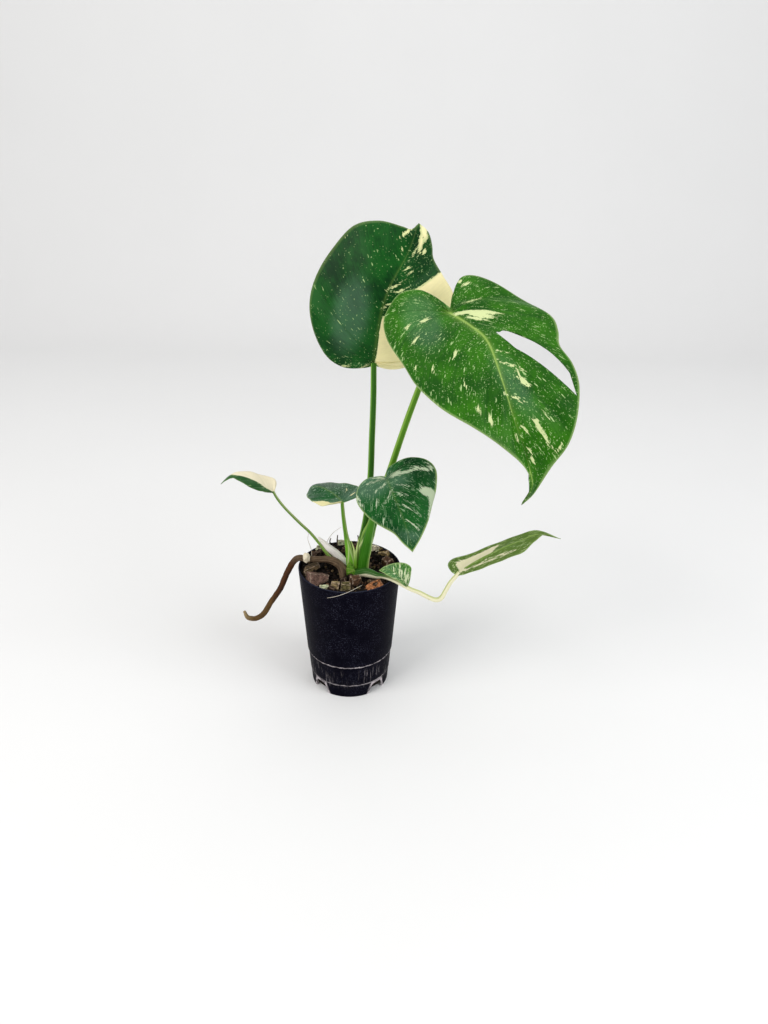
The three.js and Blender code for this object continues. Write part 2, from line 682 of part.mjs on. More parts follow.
addPiece('pot', potSolid(), 0x15151c, 0.45);
addPiece('potting_mix', pottingMix, 0x2e2620, 0.95);
addPiece('crown', largestBody(crown), 0x557a35, 0.7);
addPiece('aerial_root', root, AERIAL_ROOT.colour, 0.8);
addPiece('root_bud', rootBud, 0xe9e2cf, 0.6);
for (const petiole of seated) addPiece(`petiole_${petiole.name}`, petiole.solid, petiole.colour, 0.45);
for (const [name, leaf] of Object.entries(LEAVES)) addPiece(`blade_${name}`, blades[name], leaf.colour, 0.4);

export default plant;
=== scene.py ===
import math
import random

import bmesh
import bpy
import numpy as np
from bpy.props import FloatProperty, FloatVectorProperty, IntProperty, PointerProperty
from bpy.types import Operator, Panel, PropertyGroup
from mathutils import Matrix, Vector, noise


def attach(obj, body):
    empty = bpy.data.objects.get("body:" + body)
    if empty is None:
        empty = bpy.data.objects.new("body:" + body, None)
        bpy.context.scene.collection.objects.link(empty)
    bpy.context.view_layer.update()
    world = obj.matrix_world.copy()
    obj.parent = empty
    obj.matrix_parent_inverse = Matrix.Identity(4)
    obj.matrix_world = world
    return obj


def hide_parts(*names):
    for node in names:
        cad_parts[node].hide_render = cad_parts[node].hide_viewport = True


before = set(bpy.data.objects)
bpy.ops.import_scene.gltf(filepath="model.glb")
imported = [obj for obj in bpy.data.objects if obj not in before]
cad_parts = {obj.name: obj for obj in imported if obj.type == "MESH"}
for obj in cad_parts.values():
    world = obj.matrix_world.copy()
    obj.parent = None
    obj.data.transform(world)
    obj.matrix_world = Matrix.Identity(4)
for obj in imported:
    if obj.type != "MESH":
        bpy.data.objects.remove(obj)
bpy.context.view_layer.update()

bl_info = {
    "name": "Potted Variegated Monstera",
    "version": (1, 0, 0),
    "blender": (4, 5, 0),
    "location": "3D View > Sidebar > Monstera",
    "description": "Builds a young variegated monstera in a black nursery pot on its CAD frame",
    "category": "Add Mesh",
}

# Lengths below are in millimetres, as in the solids. MM turns them into metres.
MM = 0.001

# Blades: midrib from petiole to tip, sinus, and left and right margins from sinus to tip.
# Left and right are those of someone who looks at the upper face with the tip ahead.
ROUND = {"fan": 0.42, "sweep": 1.4, "bow": 0.1}
NARROW = {"fan": 0.3, "sweep": 1.2, "bow": 0.06}
BLADES = {
    "blade_tall": {
        "midrib": [(22, 2, 334), (27, 5, 371), (35, 10, 396), (49, 18, 421), (58, 25, 445)],
        "sinus": (23, 3, 330),
        "left": [(13, 3, 328), (-4, 6, 327), (-20, 13, 336), (-32, 20, 358), (-33, 27, 389), (-18, 32, 418),
                 (2, 33, 440), (24, 31, 446), (44, 27, 442), (52, 25, 440)],
        "right": [(38, 9, 325), (56, 16, 329), (77, 24, 343), (90, 31, 363), (91, 35, 385), (80, 34, 402),
                  (72, 32, 416), (70, 30, 426), (66, 27, 438)],
        "up_base": (0, -1, 0.1), "up_tip": (-0.2, -1, 0.1), "dome": 0.06, **ROUND, "rows": 90,
        "columns": 26, "quilt": 0.7, "wave": 0.5, "midrib_width": 1.3,
        "veins": {"left": (0.2, 0.36, 0.5, 0.62, 0.73, 0.84), "right": (0.18, 0.34, 0.5, 0.64, 0.78, 0.9)},
    },
    "blade_split": {
        "midrib": [(84, -20, 381), (99, -35, 375), (112, -52, 366), (122, -80, 342), (132, -98, 314),
                   (145, -106, 280), (148, -105, 265), (143, -97, 246)],
        "sinus": (84, -17, 385),
        "left": [(89, 0, 396), (94, 13, 404), (106, 16, 405), (127, 11, 398), (150, -2, 387),
                 (167, -19, 379), (171, -32, 371), (171, -44, 362), (179, -59, 351), (183, -74, 338),
                 (180, -91, 319), (173, -102, 300), (161, -107, 283), (151, -101, 258)],
        "right": [(73, -8, 391), (60, -2, 396), (44, -4, 393), (34, -17, 384), (30, -31, 375),
                  (34, -47, 363), (46, -68, 351), (57, -88, 339), (74, -98, 327), (97, -105, 315),
                  (120, -108, 301), (138, -108, 286), (146, -106, 272), (147, -103, 260)],
        "up_base": (0.1, -0.5, 0.85), "up_tip": (0.1, -1, 0.25), "dome": 0.05, "fan": 0.36, "sweep": 2,
        "bow": 0.15, "rows": 130, "columns": 34, "quilt": 1.5, "wave": 0.6, "midrib_width": 2.4,
        "veins": {"left": (0.14, 0.3, 0.43, 0.55, 0.69, 0.77, 0.85),
                  "right": (0.12, 0.26, 0.4, 0.52, 0.63, 0.73, 0.83)},
        "split": {"at": 17 / 26, "start": 0.28, "end": 0.98, "half_width": 0.06, "tip_edge": 0.016,
                  "reach": 0.22},
    },
    "blade_heart": {
        "midrib": [(35, -36, 239), (43, -44, 223), (51, -50, 205), (56, -54, 189), (59, -56, 178)],
        "sinus": (34, -35, 242),
        "left": [(36, -30, 248), (46, -27, 254), (59, -24, 256), (71, -21, 252), (79, -24, 243),
                 (79, -32, 231), (75, -42, 215), (69, -51, 197)],
        "right": [(26, -35, 242), (17, -38, 240), (10, -42, 234), (9, -47, 223), (16, -51, 213),
                  (27, -53, 204), (41, -54, 196), (49, -56, 188)],
        "up_base": (0.1, -0.6, 0.8), "up_tip": (0, -1, 0.2), "dome": 0.06, **ROUND, "rows": 80,
        "columns": 24, "quilt": 0.8, "wave": 0.45, "midrib_width": 1.1, "lean": 0.8,
        "veins": {"left": (0.16, 0.32, 0.47, 0.6, 0.72, 0.84),
                  "right": (0.16, 0.32, 0.47, 0.6, 0.72, 0.84)},
    },
    "blade_small": {
        "midrib": [(-6, -8, 204), (-15, 4, 206), (-27, 18, 206), (-37, 28, 201), (-43, 33, 192)],
        "sinus": (-6, -9, 202.5),
        "left": [(-15, -15, 205), (-24, -14, 202), (-33, -6, 202), (-39, 6, 200), (-42, 20, 196)],
        "right": [(1, -8, 205), (8, -4, 207), (11, 8, 209), (2, 24, 207), (-14, 38, 202), (-29, 44, 199),
                  (-39, 40, 197)],
        "up_base": (0, -0.35, 0.9), "up_tip": (-0.5, 0, 0.8), "dome": 0.05, **ROUND, "rows": 64,
        "columns": 20, "quilt": 0.3, "wave": 0.3, "midrib_width": 1,
        "veins": {"left": (0.2, 0.38, 0.55, 0.72), "right": (0.2, 0.38, 0.55, 0.72)},
    },
    "blade_outer": {
        "midrib": [(-72, 6, 206), (-82, 4, 214), (-93, 2, 221), (-105, 0, 225), (-113, -1, 222),
                   (-119, -2, 217)],
        "sinus": (-71, 6, 205.5),
        "left": [(-77, -2, 210), (-86, -7, 214), (-94, -8, 219), (-102, -6, 223), (-109, -4, 224)],
        "right": [(-70, 15, 210), (-73, 20, 214), (-84, 22, 216), (-96, 19, 221), (-105, 13, 223),
                  (-111, 6, 223)],
        "up_base": (0.1, -0.5, 0.8), "up_tip": (-0.6, 0, 0.8), "dome": 0.06, "fan": 0.3, "sweep": 1.2,
        "bow": 0.08, "rows": 56, "columns": 16, "quilt": 0.2, "wave": 0.2, "midrib_width": 0.8,
        "veins": {"left": (0.25, 0.45, 0.65, 0.8), "right": (0.25, 0.45, 0.65, 0.8)},
    },
    "blade_low": {
        "midrib": [(102, -52, 156), (119, -49, 167), (138, -45, 176), (156, -40, 182), (173, -36, 187),
                   (195, -32, 181)],
        "sinus": (101, -54, 153.5),
        "left": [(107, -57, 157), (121, -60, 165), (140, -58, 173), (158, -52, 178), (169, -43, 184),
                 (180, -36, 188)],
        "right": [(95, -50, 155), (92, -44, 159), (97, -38, 162), (111, -35, 165), (133, -32, 174),
                  (152, -31, 182), (167, -32, 189), (178, -33, 189)],
        "up_base": (0.2, 0.6, -0.7), "up_tip": (0.2, 0.6, -0.7), "dome": 0.05, **NARROW, "rows": 72,
        "columns": 18, "quilt": 0.3, "wave": 0.25, "midrib_width": 1.1, "lengthwise": True,
        "veins": {"left": (0.2, 0.36, 0.52, 0.68, 0.82), "right": (0.2, 0.36, 0.52, 0.68, 0.82)},
    },
    "blade_wing": {
        "midrib": [(55.5, -41, 133.5), (50, -38, 140), (43, -34, 144.5), (36, -30, 145), (29, -26, 141)],
        "sinus": (56.5, -41.5, 132.5),
        "left": [(48, -42, 140), (40, -39, 142), (34, -33, 142)],
        "right": [(58, -41, 146), (59, -38, 152), (52, -35, 155), (43, -31, 152), (35, -28, 147)],
        "up_base": (0, -0.8, 0.6), "up_tip": (0, -0.7, 0.7), "dome": 0.05, **NARROW, "rows": 48,
        "columns": 14, "quilt": 0.25, "wave": 0.25, "midrib_width": 0.7,
        "veins": {"left": (0.3, 0.55, 0.8), "right": (0.25, 0.45, 0.65, 0.82)},
    },
}

# Cream blotches by side: place along the margin, place from midrib to margin, half length along the vein,
# half width, and turn away from the vein in degrees
BLOTCHES = {
    "blade_tall": {
        "right": [(0.955, 0.86, 9, 3.4, 62), (0.925, 0.62, 9, 2.4, 50), (0.765, 0.3, 8, 0.9, 0),
                  (0.79, 0.14, 7, 1, 10), (0.82, 0.5, 3.4, 0.8, 10), (0.875, 0.78, 2.8, 1.9, 30),
                  (0.72, 0.1, 6, 1, 20), (0.9, 0.4, 3.4, 0.7, 30), (0.845, 0.3, 3, 0.6, 0)],
        "left": [(0.945, 0.78, 7, 1.4, 66), (0.71, 0.975, 2.6, 1, 60), (0.06, 0.6, 3.4, 0.8, 0),
                 (0.14, 0.8, 3.4, 0.7, 0), (0.9, 0.3, 2.4, 0.5, 20)],
    },
    "blade_split": {
        "left": [(0.46, 0.16, 10, 2.6, 0), (0.465, 0.36, 15, 2.8, 0), (0.49, 0.32, 11, 2.6, 4),
                 (0.52, 0.24, 9, 1.4, 4), (0.735, 0.2, 13, 1.3, 4), (0.76, 0.36, 8, 2.2, 8),
                 (0.81, 0.15, 9, 1.4, 4), (0.83, 0.62, 10, 1.8, 6), (0.835, 0.8, 9, 1.3, 4),
                 (0.815, 0.95, 4, 1.6, 60), (0.165, 0.68, 4, 1.4, 20), (0.13, 0.8, 3, 1, 20),
                 (0.9, 0.5, 7, 1, 10), (0.79, 0.66, 5, 0.9, 4), (0.7, 0.12, 6, 0.8, 4),
                 (0.3, 0.4, 5, 0.7, 0), (0.86, 0.3, 6, 0.8, 4)],
        "right": [(0.615, 0.44, 5, 1.4, -10), (0.45, 0.65, 5, 1.2, -10), (0.705, 0.83, 4, 1.5, 20),
                  (0.745, 0.84, 4.4, 1.6, 15), (0.565, 0.75, 3.4, 1, 15), (0.39, 0.34, 4.4, 1.3, 0),
                  (0.37, 0.62, 3.4, 1, 10), (0.5, 0.85, 2.6, 0.9, 0), (0.66, 0.7, 2.6, 0.8, 30),
                  (0.85, 0.6, 3, 0.8, 10)],
    },
    "blade_heart": {
        "left": [(0.425, 0.2, 6, 2.2, 0), (0.45, 0.42, 15, 1.3, 0), (0.435, 0.72, 8, 1.2, 10),
                 (0.41, 0.9, 4, 1, 40), (0.595, 0.84, 8, 3.8, 8), (0.63, 0.95, 7, 2.8, 70),
                 (0.71, 0.97, 8, 1.2, 75), (0.74, 0.5, 6, 0.7, 26), (0.68, 0.4, 5, 0.6, 24),
                 (0.84, 0.6, 4, 0.7, 30), (0.62, 0.22, 8, 0.5, 24), (0.72, 0.3, 8, 0.5, 28),
                 (0.56, 0.3, 8, 0.6, 20), (0.82, 0.3, 6, 0.5, 30)],
        "right": [(0.35, 0.96, 4.5, 1.2, 75), (0.1, 0.4, 4, 0.8, 0), (0.55, 0.62, 4, 0.8, 20),
                  (0.42, 0.95, 3, 1, 70), (0.48, 0.3, 6, 0.6, 0), (0.66, 0.8, 3, 0.7, 10),
                  (0.3, 0.4, 8, 0.5, 0), (0.16, 0.5, 6, 0.5, 0), (0.6, 0.25, 7, 0.5, 14)],
    },
    "blade_small": {
        "right": [(0.3, 0.5, 2.4, 0.6, 0), (0.5, 0.6, 2.4, 0.6, 0)],
    },
    "blade_low": {
        "left": [(0.42, 0.3, 9, 0.8, 20), (0.5, 0.5, 7, 0.6, 20), (0.58, 0.42, 9, 0.6, 20)],
    },
    "blade_wing": {
        "right": [(0.34, 0.4, 7, 0.7, 0), (0.46, 0.36, 8, 0.8, 0), (0.58, 0.4, 7, 0.7, 0),
                  (0.7, 0.4, 5, 0.6, 0), (0.4, 0.2, 4, 0.9, 20), (0.52, 0.2, 5, 1, 10),
                  (0.4, 0.5, 3, 0.8, 0)],
        "left": [(0.5, 0.5, 3, 0.6, 0)],
    },
}

# Wholly cream sectors by side: range along the margin, inner border at its start and end, outer border
CREAM_SECTORS = {
    "blade_tall": {"right": [(0.02, 0.675, 0, 0, 1.2), (0.58, 0.745, -0.15, 0.42, 1.2)]},
    "blade_small": {"left": [(-0.1, 0.47, -0.35, 0.64, 1.3)]},
    "blade_outer": {"right": [(-0.2, 0.84, -0.3, -0.3, 1.4)], "left": [(-0.2, 0.5, -0.3, -0.2, 0.14)]},
    "blade_low": {"right": [(0.2, 0.57, -0.4, -0.1, 0.74)], "left": [(-0.2, 0.36, -0.4, -0.4, 0.2)]},
}

# Painted sheen: silvery light painted onto the blades, placed by the same five numbers as a blotch
PAINTED_SHEEN = {
    "blade_tall": {"left": [(0.57, 0.46, 30, 16, 50)]},
    "blade_split": {"right": [(0.4, 0.4, 30, 15, 60)], "left": [(0.78, 0.2, 30, 9, 40)]},
    "blade_heart": {"right": [(0.3, 0.5, 20, 13, 0)], "left": [(0.5, 0.2, 10, 6, 0), (0.9, 0.3, 8, 4, 0)]},
    "blade_small": {"right": [(0.25, 0.6, 12, 9, 0)], "left": [(0.2, 0.5, 9, 6, 0)]},
    "blade_wing": {"left": [(0.6, 0.5, 12, 7, 0)], "right": [(0.8, 0.5, 12, 6, 0)]},
}

# Stalks: path from the crown outwards, radii at the same points
STALKS = {
    "petiole_tall":
        {"path": [(6, 3, 120), (8, 4, 138), (11, 4, 154), (14, 4, 168), (17, 3, 190), (20, 1, 226),
                  (21, 0, 262), (22, 1, 300), (22, 2, 332.5)],
         "radii": [3.4, 3.4, 3.4, 3.3, 3, 2.9, 2.8, 2.7, 2.5]},
    "petiole_split":
        {"path": [(12, -3, 120), (13, -3, 140), (15, -3, 153), (18.5, -3.5, 168), (22, -4, 179),
                  (28, -5, 200), (37.5, -7, 234), (47, -9, 268), (56.5, -11.5, 300), (67, -14.5, 332),
                  (78.5, -18, 361), (84, -19, 380)],
         "radii": [5.6, 6.1, 6.4, 6.1, 4.7, 3.6, 3.1, 2.9, 2.8, 2.7, 2.4, 2.1]},
    "petiole_heart":
        {"path": [(12, -8, 121), (13, -9, 135), (14, -9, 144), (16, -9, 154), (19, -9.5, 171),
                  (21.5, -11, 182), (24, -17, 198), (28, -28, 221), (33.6, -35, 239.5)],
         "radii": [4, 4.4, 4.6, 4.5, 4, 3.2, 2.2, 1.8, 1.6]},
    "petiole_small":
        {"path": [(2, -6, 120), (1.8, -6, 128), (1, -6, 142), (-0.6, -6.5, 155), (-3, -7, 170),
                  (-5, -7.5, 188), (-6, -8, 203.5)],
         "radii": [3.7, 4, 4.1, 3.2, 2.1, 1.8, 1.6]},
    "petiole_outer":
        {"path": [(-2, 1, 121), (-11, 2, 130), (-21, 3, 140.5), (-29.5, 5, 152), (-38, 6, 163),
                  (-48, 7, 173), (-61, 7, 188), (-68, 7, 198), (-71.7, 6, 206)],
         "radii": [1.8, 1.6, 1.5, 1.4, 1.4, 1.4, 1.3, 1.3, 1.2]},
    "petiole_low":
        {"path": [(6, -9, 127), (15, -15, 132), (21, -19, 133.3), (27, -23, 133.7), (33, -26.5, 135),
                  (43, -33, 135), (58, -42, 131.3), (67, -47, 130.4), (76, -51, 127.6), (82.5, -53, 126.6),
                  (87, -53.5, 129.4), (90.5, -53.5, 137), (94.5, -53, 145.5), (102, -52, 155.7)],
         "radii": [4.4, 4.6, 4.3, 3.2, 2.3, 2, 1.9, 2, 2.1, 2.3, 2.3, 2.1, 2, 1.9]},
}
WHITE_SHEATH = {"path": [(0, 1, 123), (-3, 1, 129.5), (-6, 2, 134), (-13, 4, 141), (-20, 4.5, 147),
                         (-26, 5.5, 153.5), (-31, 6, 159)],
                "radii": [3.4, 3.8, 4.2, 4.2, 3.7, 2.3, 0.5]}
BRACT = {"path": [(4, -11.5, 124), (3, -12.5, 128), (1.5, -12, 132.5), (1, -10.8, 137), (1.2, -9.8, 141)],
         "radii": [5.4, 5.2, 4.2, 2.8, 0.8]}
SHEATH_TIPS = {
    "left": {"path": [(6, -8, 131), (6, -8.5, 138.5), (5.6, -8.5, 146), (4.6, -8, 154), (2, -7.5, 162.5)],
             "radii": [1.6, 1.5, 1.2, 0.8, 0.3]},
    "right": {"path": [(6.8, -8, 131), (6.7, -8.5, 139.5), (7, -8, 148), (8, -7.5, 156.5), (9.8, -7, 165)],
              "radii": [1.6, 1.5, 1.2, 0.8, 0.3]},
}
AERIAL_ROOT = {"path": [(2, -8, 122), (-5, -9, 131), (-10, -8, 136.5), (-15, -7, 139.7), (-22, -6, 140.5),
                        (-30, -5, 140), (-40, -4, 139.5), (-49, -3, 140), (-55, -1, 134), (-62, 0, 120),
                        (-69, 0, 103), (-79, 0, 87), (-87, 0, 73), (-95, -1, 67.5), (-103, -2, 69),
                        (-106, -3, 77)],
               "radii": [4.2, 4.2, 4.1, 3.8, 3.3, 3, 2.9, 3.1, 3.1, 3, 2.9, 2.8, 2.8, 2.6, 2.4, 1.4]}
SIDE_ROOT = {"path": [(-10, -8.5, 137), (-8, -12, 134), (-6.5, -15, 128), (-6, -17, 121)],
             "radii": [3, 3, 2.6, 2]}
FIBRES = [
    {"path": [(-18, -54, 127.3), (-11, -53.6, 128.6), (-4, -52.6, 130.6), (3, -50.2, 132.6),
              (9, -46.5, 134), (14, -41.5, 134.2)],
     "radii": [0.14, 0.18, 0.2, 0.2, 0.18, 0.13]},
    {"path": [(-26, 30, 131), (-24, 31, 140), (-18, 33, 149), (-10, 36, 154)],
     "radii": [0.3, 0.28, 0.24, 0.15]},
    {"path": [(-38, 14, 130), (-39, 16, 140), (-42, 18, 149), (-41, 20, 156)],
     "radii": [0.28, 0.26, 0.22, 0.14]},
]
TWIGS = [
    {"path": [(-14, 40, 130), (-14.5, 41, 136), (-14, 41.5, 142)],
     "radii": [0.8, 0.7, 0.5]},
    {"path": [(7, 44, 131), (7.2, 44, 136), (6.5, 44.5, 140.5)],
     "radii": [0.9, 0.8, 0.6]},
    {"path": [(-22, 42, 130), (-22, 42, 135), (-21, 42.5, 138)],
     "radii": [0.7, 0.6, 0.4]},
]

# Larger pieces in the mix: centre, size, turn about Z, tint
CHIPS = [
    ((-30, -22), (19, 13, 12), 0.35, "mauve"), ((-37, -6), (17, 9, 7), 0.5, "olive"),
    ((-22, -36), (9, 6, 6), 0.2, "pumice"), ((-12, -33), (8, 7, 9), -0.1, "beige"),
    ((-2, -35), (9, 8, 8), 0.1, "dark_olive"), ((7, -25), (10, 9, 7), 0.4, "brown"),
    ((24, -32), (19, 10, 6), 0.45, "russet"), ((25, 32), (8, 7, 9), 0.6, "perlite"),
    ((34, 25), (10, 6, 7), -0.7, "straw"), ((37, 8), (11, 8, 7), 0.9, "brown"),
    ((-31, 31), (8, 6, 7), 0.8, "pumice"), ((-10, 41), (8, 6, 7), 0.1, "pumice"),
]
# Tints of the mix pieces; the pale edge tint is a painted highlight along chip edges
TINTS = {
    "mauve": (0.105, 0.062, 0.048), "olive": (0.1, 0.068, 0.035), "pumice": (0.3, 0.32, 0.2),
    "beige": (0.27, 0.2, 0.1), "dark_olive": (0.09, 0.075, 0.03), "brown": (0.07, 0.036, 0.02),
    "russet": (0.3, 0.12, 0.05), "perlite": (0.46, 0.42, 0.3), "straw": (0.3, 0.21, 0.09),
    # Near-black tint of the bed and many crumbs: dark peat, deepened with painted shade of the gaps between
    # chips
    "peat_and_gap_shade": (0.006, 0.004, 0.003), "bark": (0.032, 0.018, 0.011), "edge_highlight": (0.4, 0.3, 0.23),
}

# How each leaf looks: greens, its cream, share of streaks and dots, strength of the painted sheen, and
# strength of midrib, veins and rim; on the tall and split blades the veins' strength is that of painted
# shade in their grooves
LEAF_LOOKS = {
    "blade_tall": {"dark": (0.0015, 0.028, 0.005), "bright": (0.008, 0.088, 0.01),
        "cream": (0.98, 0.88, 0.48), "streaks": 0.03, "dots": 0.3, "painted_sheen": 0.32, "midrib": 0.12,
        "veins": 0.3, "rim": 0.3},
    "blade_split": {"dark": (0.008, 0.07, 0.002), "bright": (0.032, 0.16, 0.004),
        "cream": (0.62, 0.7, 0.34), "streaks": 0.08, "dots": 0.6, "painted_sheen": 0.26, "midrib": 0.8,
        "veins": 0.5, "rim": 0.7},
    "blade_heart": {"dark": (0.003, 0.04, 0.009), "bright": (0.01, 0.1, 0.015), "cream": (0.5, 0.6, 0.4),
        "fleck": (0.3, 0.46, 0.26), "streaks": 0.18, "dots": 0.5, "painted_sheen": 0.5, "midrib": 0.12,
        "veins": 0.12, "rim": 0.9},
    "blade_small": {"dark": (0.006, 0.055, 0.016), "bright": (0.014, 0.11, 0.026),
        "cream": (0.86, 0.8, 0.44), "fleck": (0.3, 0.44, 0.3), "streaks": 0.25, "dots": 0.5, "painted_sheen": 0.6,
        "midrib": 0.25, "veins": 0.12, "rim": 0.5},
    "blade_outer": {"dark": (0.014, 0.07, 0.018), "bright": (0.045, 0.135, 0.036),
        "cream": (0.88, 0.8, 0.58), "streaks": 0.04, "dots": 0.1, "painted_sheen": 0.3, "midrib": 0.3,
        "veins": 0.2, "rim": 0.2},
    "blade_low": {"dark": (0.03, 0.075, 0.005), "bright": (0.085, 0.15, 0.012), "cream": (0.97, 0.87, 0.64),
        "fleck": (0.5, 0.6, 0.28), "streaks": 0.42, "dots": 0.04, "painted_sheen": 0.2, "midrib": 0.6,
        "veins": 0.15, "rim": 0.5},
    "blade_wing": {"dark": (0.03, 0.13, 0.02), "bright": (0.07, 0.22, 0.035), "cream": (0.66, 0.74, 0.46),
        "streaks": 0.5, "dots": 0.5, "painted_sheen": 0.35, "midrib": 0.3, "veins": 0.3, "rim": 0.7},
}

# Colours of each stalk low down, higher up and on its paler side, which lies at this angle from the front.
# The paler side is partly the stalk's own pale stripe and partly a painted highlight, along both edges on
# the stalks marked both
STALK_LOOKS = {
    "petiole_tall": {"base": (0.045, 0.2, 0.01), "top": (0.03, 0.13, 0.01), "pale": (0.2, 0.4, 0.06),
        "angle": 84, "spread": 0.3, "change": 0.05, "both": True},
    "petiole_split": {"base": (0.015, 0.1, 0.002), "top": (0.085, 0.235, 0.014), "pale": (0.25, 0.43, 0.07),
        "angle": 80, "spread": 0.34, "change": 0.23, "both": True},
    "petiole_heart": {"base": (0.03, 0.15, 0.006), "top": (0.06, 0.22, 0.015), "pale": (0.16, 0.36, 0.05),
        "angle": 70, "spread": 0.2, "change": 0.3},
    "petiole_small": {"base": (0.15, 0.42, 0.02), "top": (0.1, 0.26, 0.02), "pale": (0.42, 0.58, 0.18),
        "angle": 62, "spread": 0.34, "change": 0.4},
    "petiole_outer": {"base": (0.2, 0.36, 0.06), "top": (0.12, 0.24, 0.04), "pale": (0.46, 0.54, 0.24),
        "angle": 70, "spread": 0.4, "change": 0.4},
    "petiole_low": {"base": (0.02, 0.1, 0.008), "top": (0.56, 0.6, 0.28), "pale": (0.88, 0.83, 0.6),
        "angle": 40, "spread": 0.95, "change": 0.25},
}

# Record slots of the blades that aren't dark green
LEAF_SLOTS = {"blade_split": "leaf_bright", "blade_low": "leaf_bright", "blade_wing": "leaf_bright",
              "blade_outer": "leaf_cream"}

# Sheath margins: angles of the two edges at the foot, height where they meet, and height of the ridge
SHEATHS = {"petiole_split": (-1.25, 1.3, 181, 0.13), "petiole_small": (-0.9, 1.2, 162, 0.12)}

# Dark and light tones of the root: near the crown, hanging, lower down and at its tip
ROOT_TONES = [
    ((0.06, 0.04, 0.022), (0.22, 0.145, 0.085)), ((0.035, 0.01, 0.003), (0.12, 0.042, 0.01)),
    ((0.07, 0.038, 0.01), (0.18, 0.1, 0.03)), ((0.3, 0.2, 0.08), (0.5, 0.38, 0.2)),
]

# Loose bits on the mix, with their dark and light tones
LOOSE_BITS = {
    "dry_fibre": (FIBRES, (0.5, 0.45, 0.36), (0.72, 0.66, 0.56)),
    "dark_twig": (TWIGS, (0.03, 0.016, 0.01), (0.09, 0.05, 0.03)),
}

# Distances from cream marks and from patches of painted sheen are cut off here
FAR_FROM_MARK = 6.0
# Step along the margin that measures how far the ribs spread
NEAR = 0.004
# The side of a stalk that counts as its front
FRONT = np.array([0.08, -1.0, 0.04])

# Pot: radius at the rim, how much narrower the foot is, height, top of the foot band, and wall
RIM_RADIUS = 50
TAPER = 9.6
POT_HEIGHT = 131
FOOT_BAND = 15
WALL = 1.5
# Notches: how many, radii between which they cut, how fast they narrow, and the foot's radius in metres
NOTCHES = 4
NOTCH_DEPTHS = (33, 50)
NOTCH_SLANT = 0.33
FOOT_RADIUS = 0.0405

# Mix: radius of its top, and radii and heights of the rings below
MIX_RADIUS = 47.6
MIX_RINGS = [(47.3, 118), (46, 100), (41.9, 40), (40.6, 38), (38.2, 6)]
# Number of small chips, radius that crumbs are thrown over, and radius that keeps them clear of the wall
SMALL_CHIPS = 26
CRUMB_RADIUS = 47
CLEAR_RADIUS = 45.4

# Angles above which edges of the pot and of the mix are shaded sharp
POT_CREASE = math.radians(28)
CHIP_CREASE = math.radians(32)

# Camera: focal length in millimetres and place in metres
FOCAL_LENGTH = 27.12
CAMERA_PLACE = (0.033, -0.6541, 0.5139)


def clamp(values, low=0.0, high=1.0):
    return np.minimum(np.maximum(values, low), high)


def smooth_step(values, start, end):
    share = clamp((values - start) / (end - start))
    return share * share * (3 - 2 * share)


def bell(values, width):
    """1 where the values are 0, falling away smoothly over this width."""
    return np.exp(-((values / width) ** 2))


def unit(vectors):
    return vectors / np.maximum(np.linalg.norm(vectors, axis=-1, keepdims=True), 1e-9)


class Path:
    """A smooth path through points, read by its share of the whole length."""

    def __init__(self, points):
        points = np.array(points, float)
        self.points = np.vstack([2 * points[0] - points[1], points, 2 * points[-1] - points[-2]])
        self.spans = len(points) - 1
        self.steps = np.linspace(0, 1, 201)
        gaps = np.linalg.norm(np.diff(self.raw(self.steps), axis=0), axis=1)
        self.lengths = np.concatenate([[0], np.cumsum(gaps)])
        self.length = self.lengths[-1]

    def raw(self, t):
        place = clamp(np.atleast_1d(t)) * self.spans
        span = np.minimum(place.astype(int), self.spans - 1)
        w = (place - span)[:, None]
        a, b, c, d = (self.points[span + k] for k in range(4))
        start, end = (c - a) / 2, (d - b) / 2
        return ((2 * b - 2 * c + start + end) * w**3 + (3 * c - 3 * b - 2 * start - end) * w**2
                + start * w + b)

    def parameter(self, share):
        return np.interp(clamp(share) * self.length, self.lengths, self.steps)

    def at(self, share):
        return self.raw(self.parameter(share))

    def tangent(self, share):
        t = self.parameter(share)
        return unit(self.raw(np.minimum(t + 1e-4, 1)) - self.raw(np.maximum(t - 1e-4, 0)))


def ring_angles(sides):
    return np.linspace(0, 2 * np.pi, sides, endpoint=False)


def wall_faces(rings, sides):
    """Faces between neighbouring rings that have the same number of points."""
    ends = [(s, (s + 1) % sides) for s in range(sides)]
    return [[start + s, start + n, start + sides + n, start + sides + s]
            for start in range(0, (rings - 1) * sides, sides) for s, n in ends]


def without_doubles(corners):
    return [v for k, v in enumerate(corners) if v != corners[k - 1]]


def add_object(name, vertices, faces, attributes=None, smooth=True):
    mesh = bpy.data.meshes.new(name)
    mesh.from_pydata((np.asarray(vertices) * MM).tolist(), [], faces)
    for key, values in (attributes or {}).items():
        values = np.asarray(values, np.float32)
        kind, field = ("FLOAT_VECTOR", "vector") if values.ndim > 1 else ("FLOAT", "value")
        mesh.attributes.new(key, kind, "POINT").data.foreach_set(field, values.ravel())
    mesh.polygons.foreach_set("use_smooth", [smooth] * len(mesh.polygons))
    mesh.update()
    piece = bpy.data.objects.new(name, mesh)
    bpy.context.scene.collection.objects.link(piece)
    return piece


def settle(piece, material, slot, *nodes):
    piece.data.materials.append(material)
    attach(piece, "root")
    if nodes:
        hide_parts(*nodes)
    return piece


# Shader building

